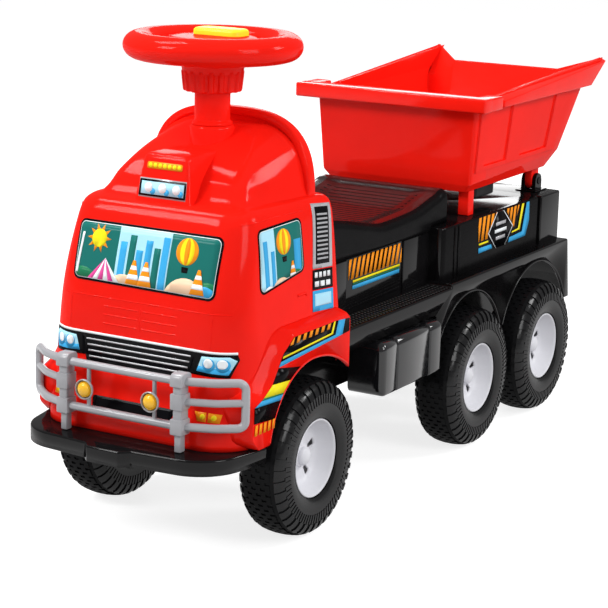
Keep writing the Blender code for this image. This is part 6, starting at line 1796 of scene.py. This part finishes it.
class TruckStage(PropertyGroup):
    """Studio light."""

    ambient: FloatProperty(name="Ambient", description="Light from all round", default=0.45, min=0.0)
    key_power: FloatProperty(name="Key light", description="Soft light ahead on the right", default=40.0, unit="POWER")
    side_power: FloatProperty(name="Side light", description="Soft light on the left", default=24.0, unit="POWER")
    back_power: FloatProperty(name="Back light", description="Low soft light behind", default=20.0, unit="POWER")
    top_power: FloatProperty(name="Top light", description="Soft light above", default=34.0, unit="POWER")
    rim_power: FloatProperty(name="Rim light", description="Soft light behind on the left", default=14.0, unit="POWER")
    floor_glow: FloatProperty(name="Floor glow", description="How pale the floor is seen", default=0.80, min=0.0)


class TRUCK_OT_cab(Operator):
    """Models the cab with its roof, flares and raised lines."""

    bl_idname = "truck.cab"
    bl_label = "Cab"

    def execute(self, context):
        build_cab()
        return {"FINISHED"}


class TRUCK_OT_front(Operator):
    """Models the bumper, the bull bar and its lamps."""

    bl_idname = "truck.front"
    bl_label = "Bumper and bull bar"

    def execute(self, context):
        build_front()
        return {"FINISHED"}


class TRUCK_OT_body(Operator):
    """Models the rear body, the tanks and the seat."""

    bl_idname = "truck.body"
    bl_label = "Rear body and seat"

    def execute(self, context):
        build_body()
        return {"FINISHED"}


class TRUCK_OT_bed(Operator):
    """Models the tipping bed and its hinges."""

    bl_idname = "truck.bed"
    bl_label = "Dump bed"

    def execute(self, context):
        build_bed()
        return {"FINISHED"}


class TRUCK_OT_steering(Operator):
    """Models the steering wheel, the column tube and the horn button."""

    bl_idname = "truck.steering"
    bl_label = "Steering wheel"

    def execute(self, context):
        build_steering()
        return {"FINISHED"}


class TRUCK_OT_wheels(Operator):
    """Models the six wheels."""

    bl_idname = "truck.wheels"
    bl_label = "Wheels"

    def execute(self, context):
        detail = context.scene.truck_detail
        build_wheels(detail.tyre_lugs, detail.lug_height)
        return {"FINISHED"}


class TRUCK_OT_inner(Operator):
    """Gives the frame's inner parts their finishes."""

    bl_idname = "truck.inner"
    bl_label = "Inner parts"

    def execute(self, context):
        dress_inner_parts()
        return {"FINISHED"}


class TRUCK_OT_prints(Operator):
    """Lays the prints on the cab and the rear body."""

    bl_idname = "truck.prints"
    bl_label = "Prints"

    def execute(self, context):
        windscreen_print()
        side_window_print()
        grille_print()
        vent_print()
        fender_print()
        box_prints()
        roof_lamp_print()
        return {"FINISHED"}


class TRUCK_OT_stage(Operator):
    """Sets up the floor, the light and the camera."""

    bl_idname = "truck.stage"
    bl_label = "Stage"

    def execute(self, context):
        build_stage(context.scene.truck_stage)
        return {"FINISHED"}


STEPS = ("cab", "front", "body", "bed", "steering", "wheels", "inner", "prints", "stage")


class TRUCK_PT_panel(Panel):
    """Lists the truck's pieces and their settings."""

    bl_idname = "TRUCK_PT_panel"
    bl_label = "Toy dump truck"
    bl_space_type = "VIEW_3D"
    bl_region_type = "UI"
    bl_category = "Toy truck"

    def draw(self, context):
        for step in STEPS:
            self.layout.operator(f"truck.{step}")
        for group in (context.scene.truck_detail, context.scene.truck_stage, context.scene.truck_paint):
            for name in group.bl_rna.properties.keys():
                if name not in ("rna_type", "name"):
                    self.layout.prop(group, name)


CLASSES = (
    TruckPaint, TruckDetail, TruckStage, TRUCK_OT_cab, TRUCK_OT_front, TRUCK_OT_body, TRUCK_OT_bed,
    TRUCK_OT_steering, TRUCK_OT_wheels, TRUCK_OT_inner, TRUCK_OT_prints, TRUCK_OT_stage, TRUCK_PT_panel,
)


def register():
    for cls in CLASSES:
        bpy.utils.register_class(cls)
    bpy.types.Scene.truck_paint = PointerProperty(type=TruckPaint)
    bpy.types.Scene.truck_detail = PointerProperty(type=TruckDetail)
    bpy.types.Scene.truck_stage = PointerProperty(type=TruckStage)


def unregister():
    for name in ("truck_paint", "truck_detail", "truck_stage"):
        delattr(bpy.types.Scene, name)
    for cls in reversed(CLASSES):
        bpy.utils.unregister_class(cls)


def main():
    register()
    for step in STEPS:
        getattr(bpy.ops.truck, step)()


if __name__ == "__main__":
    main()
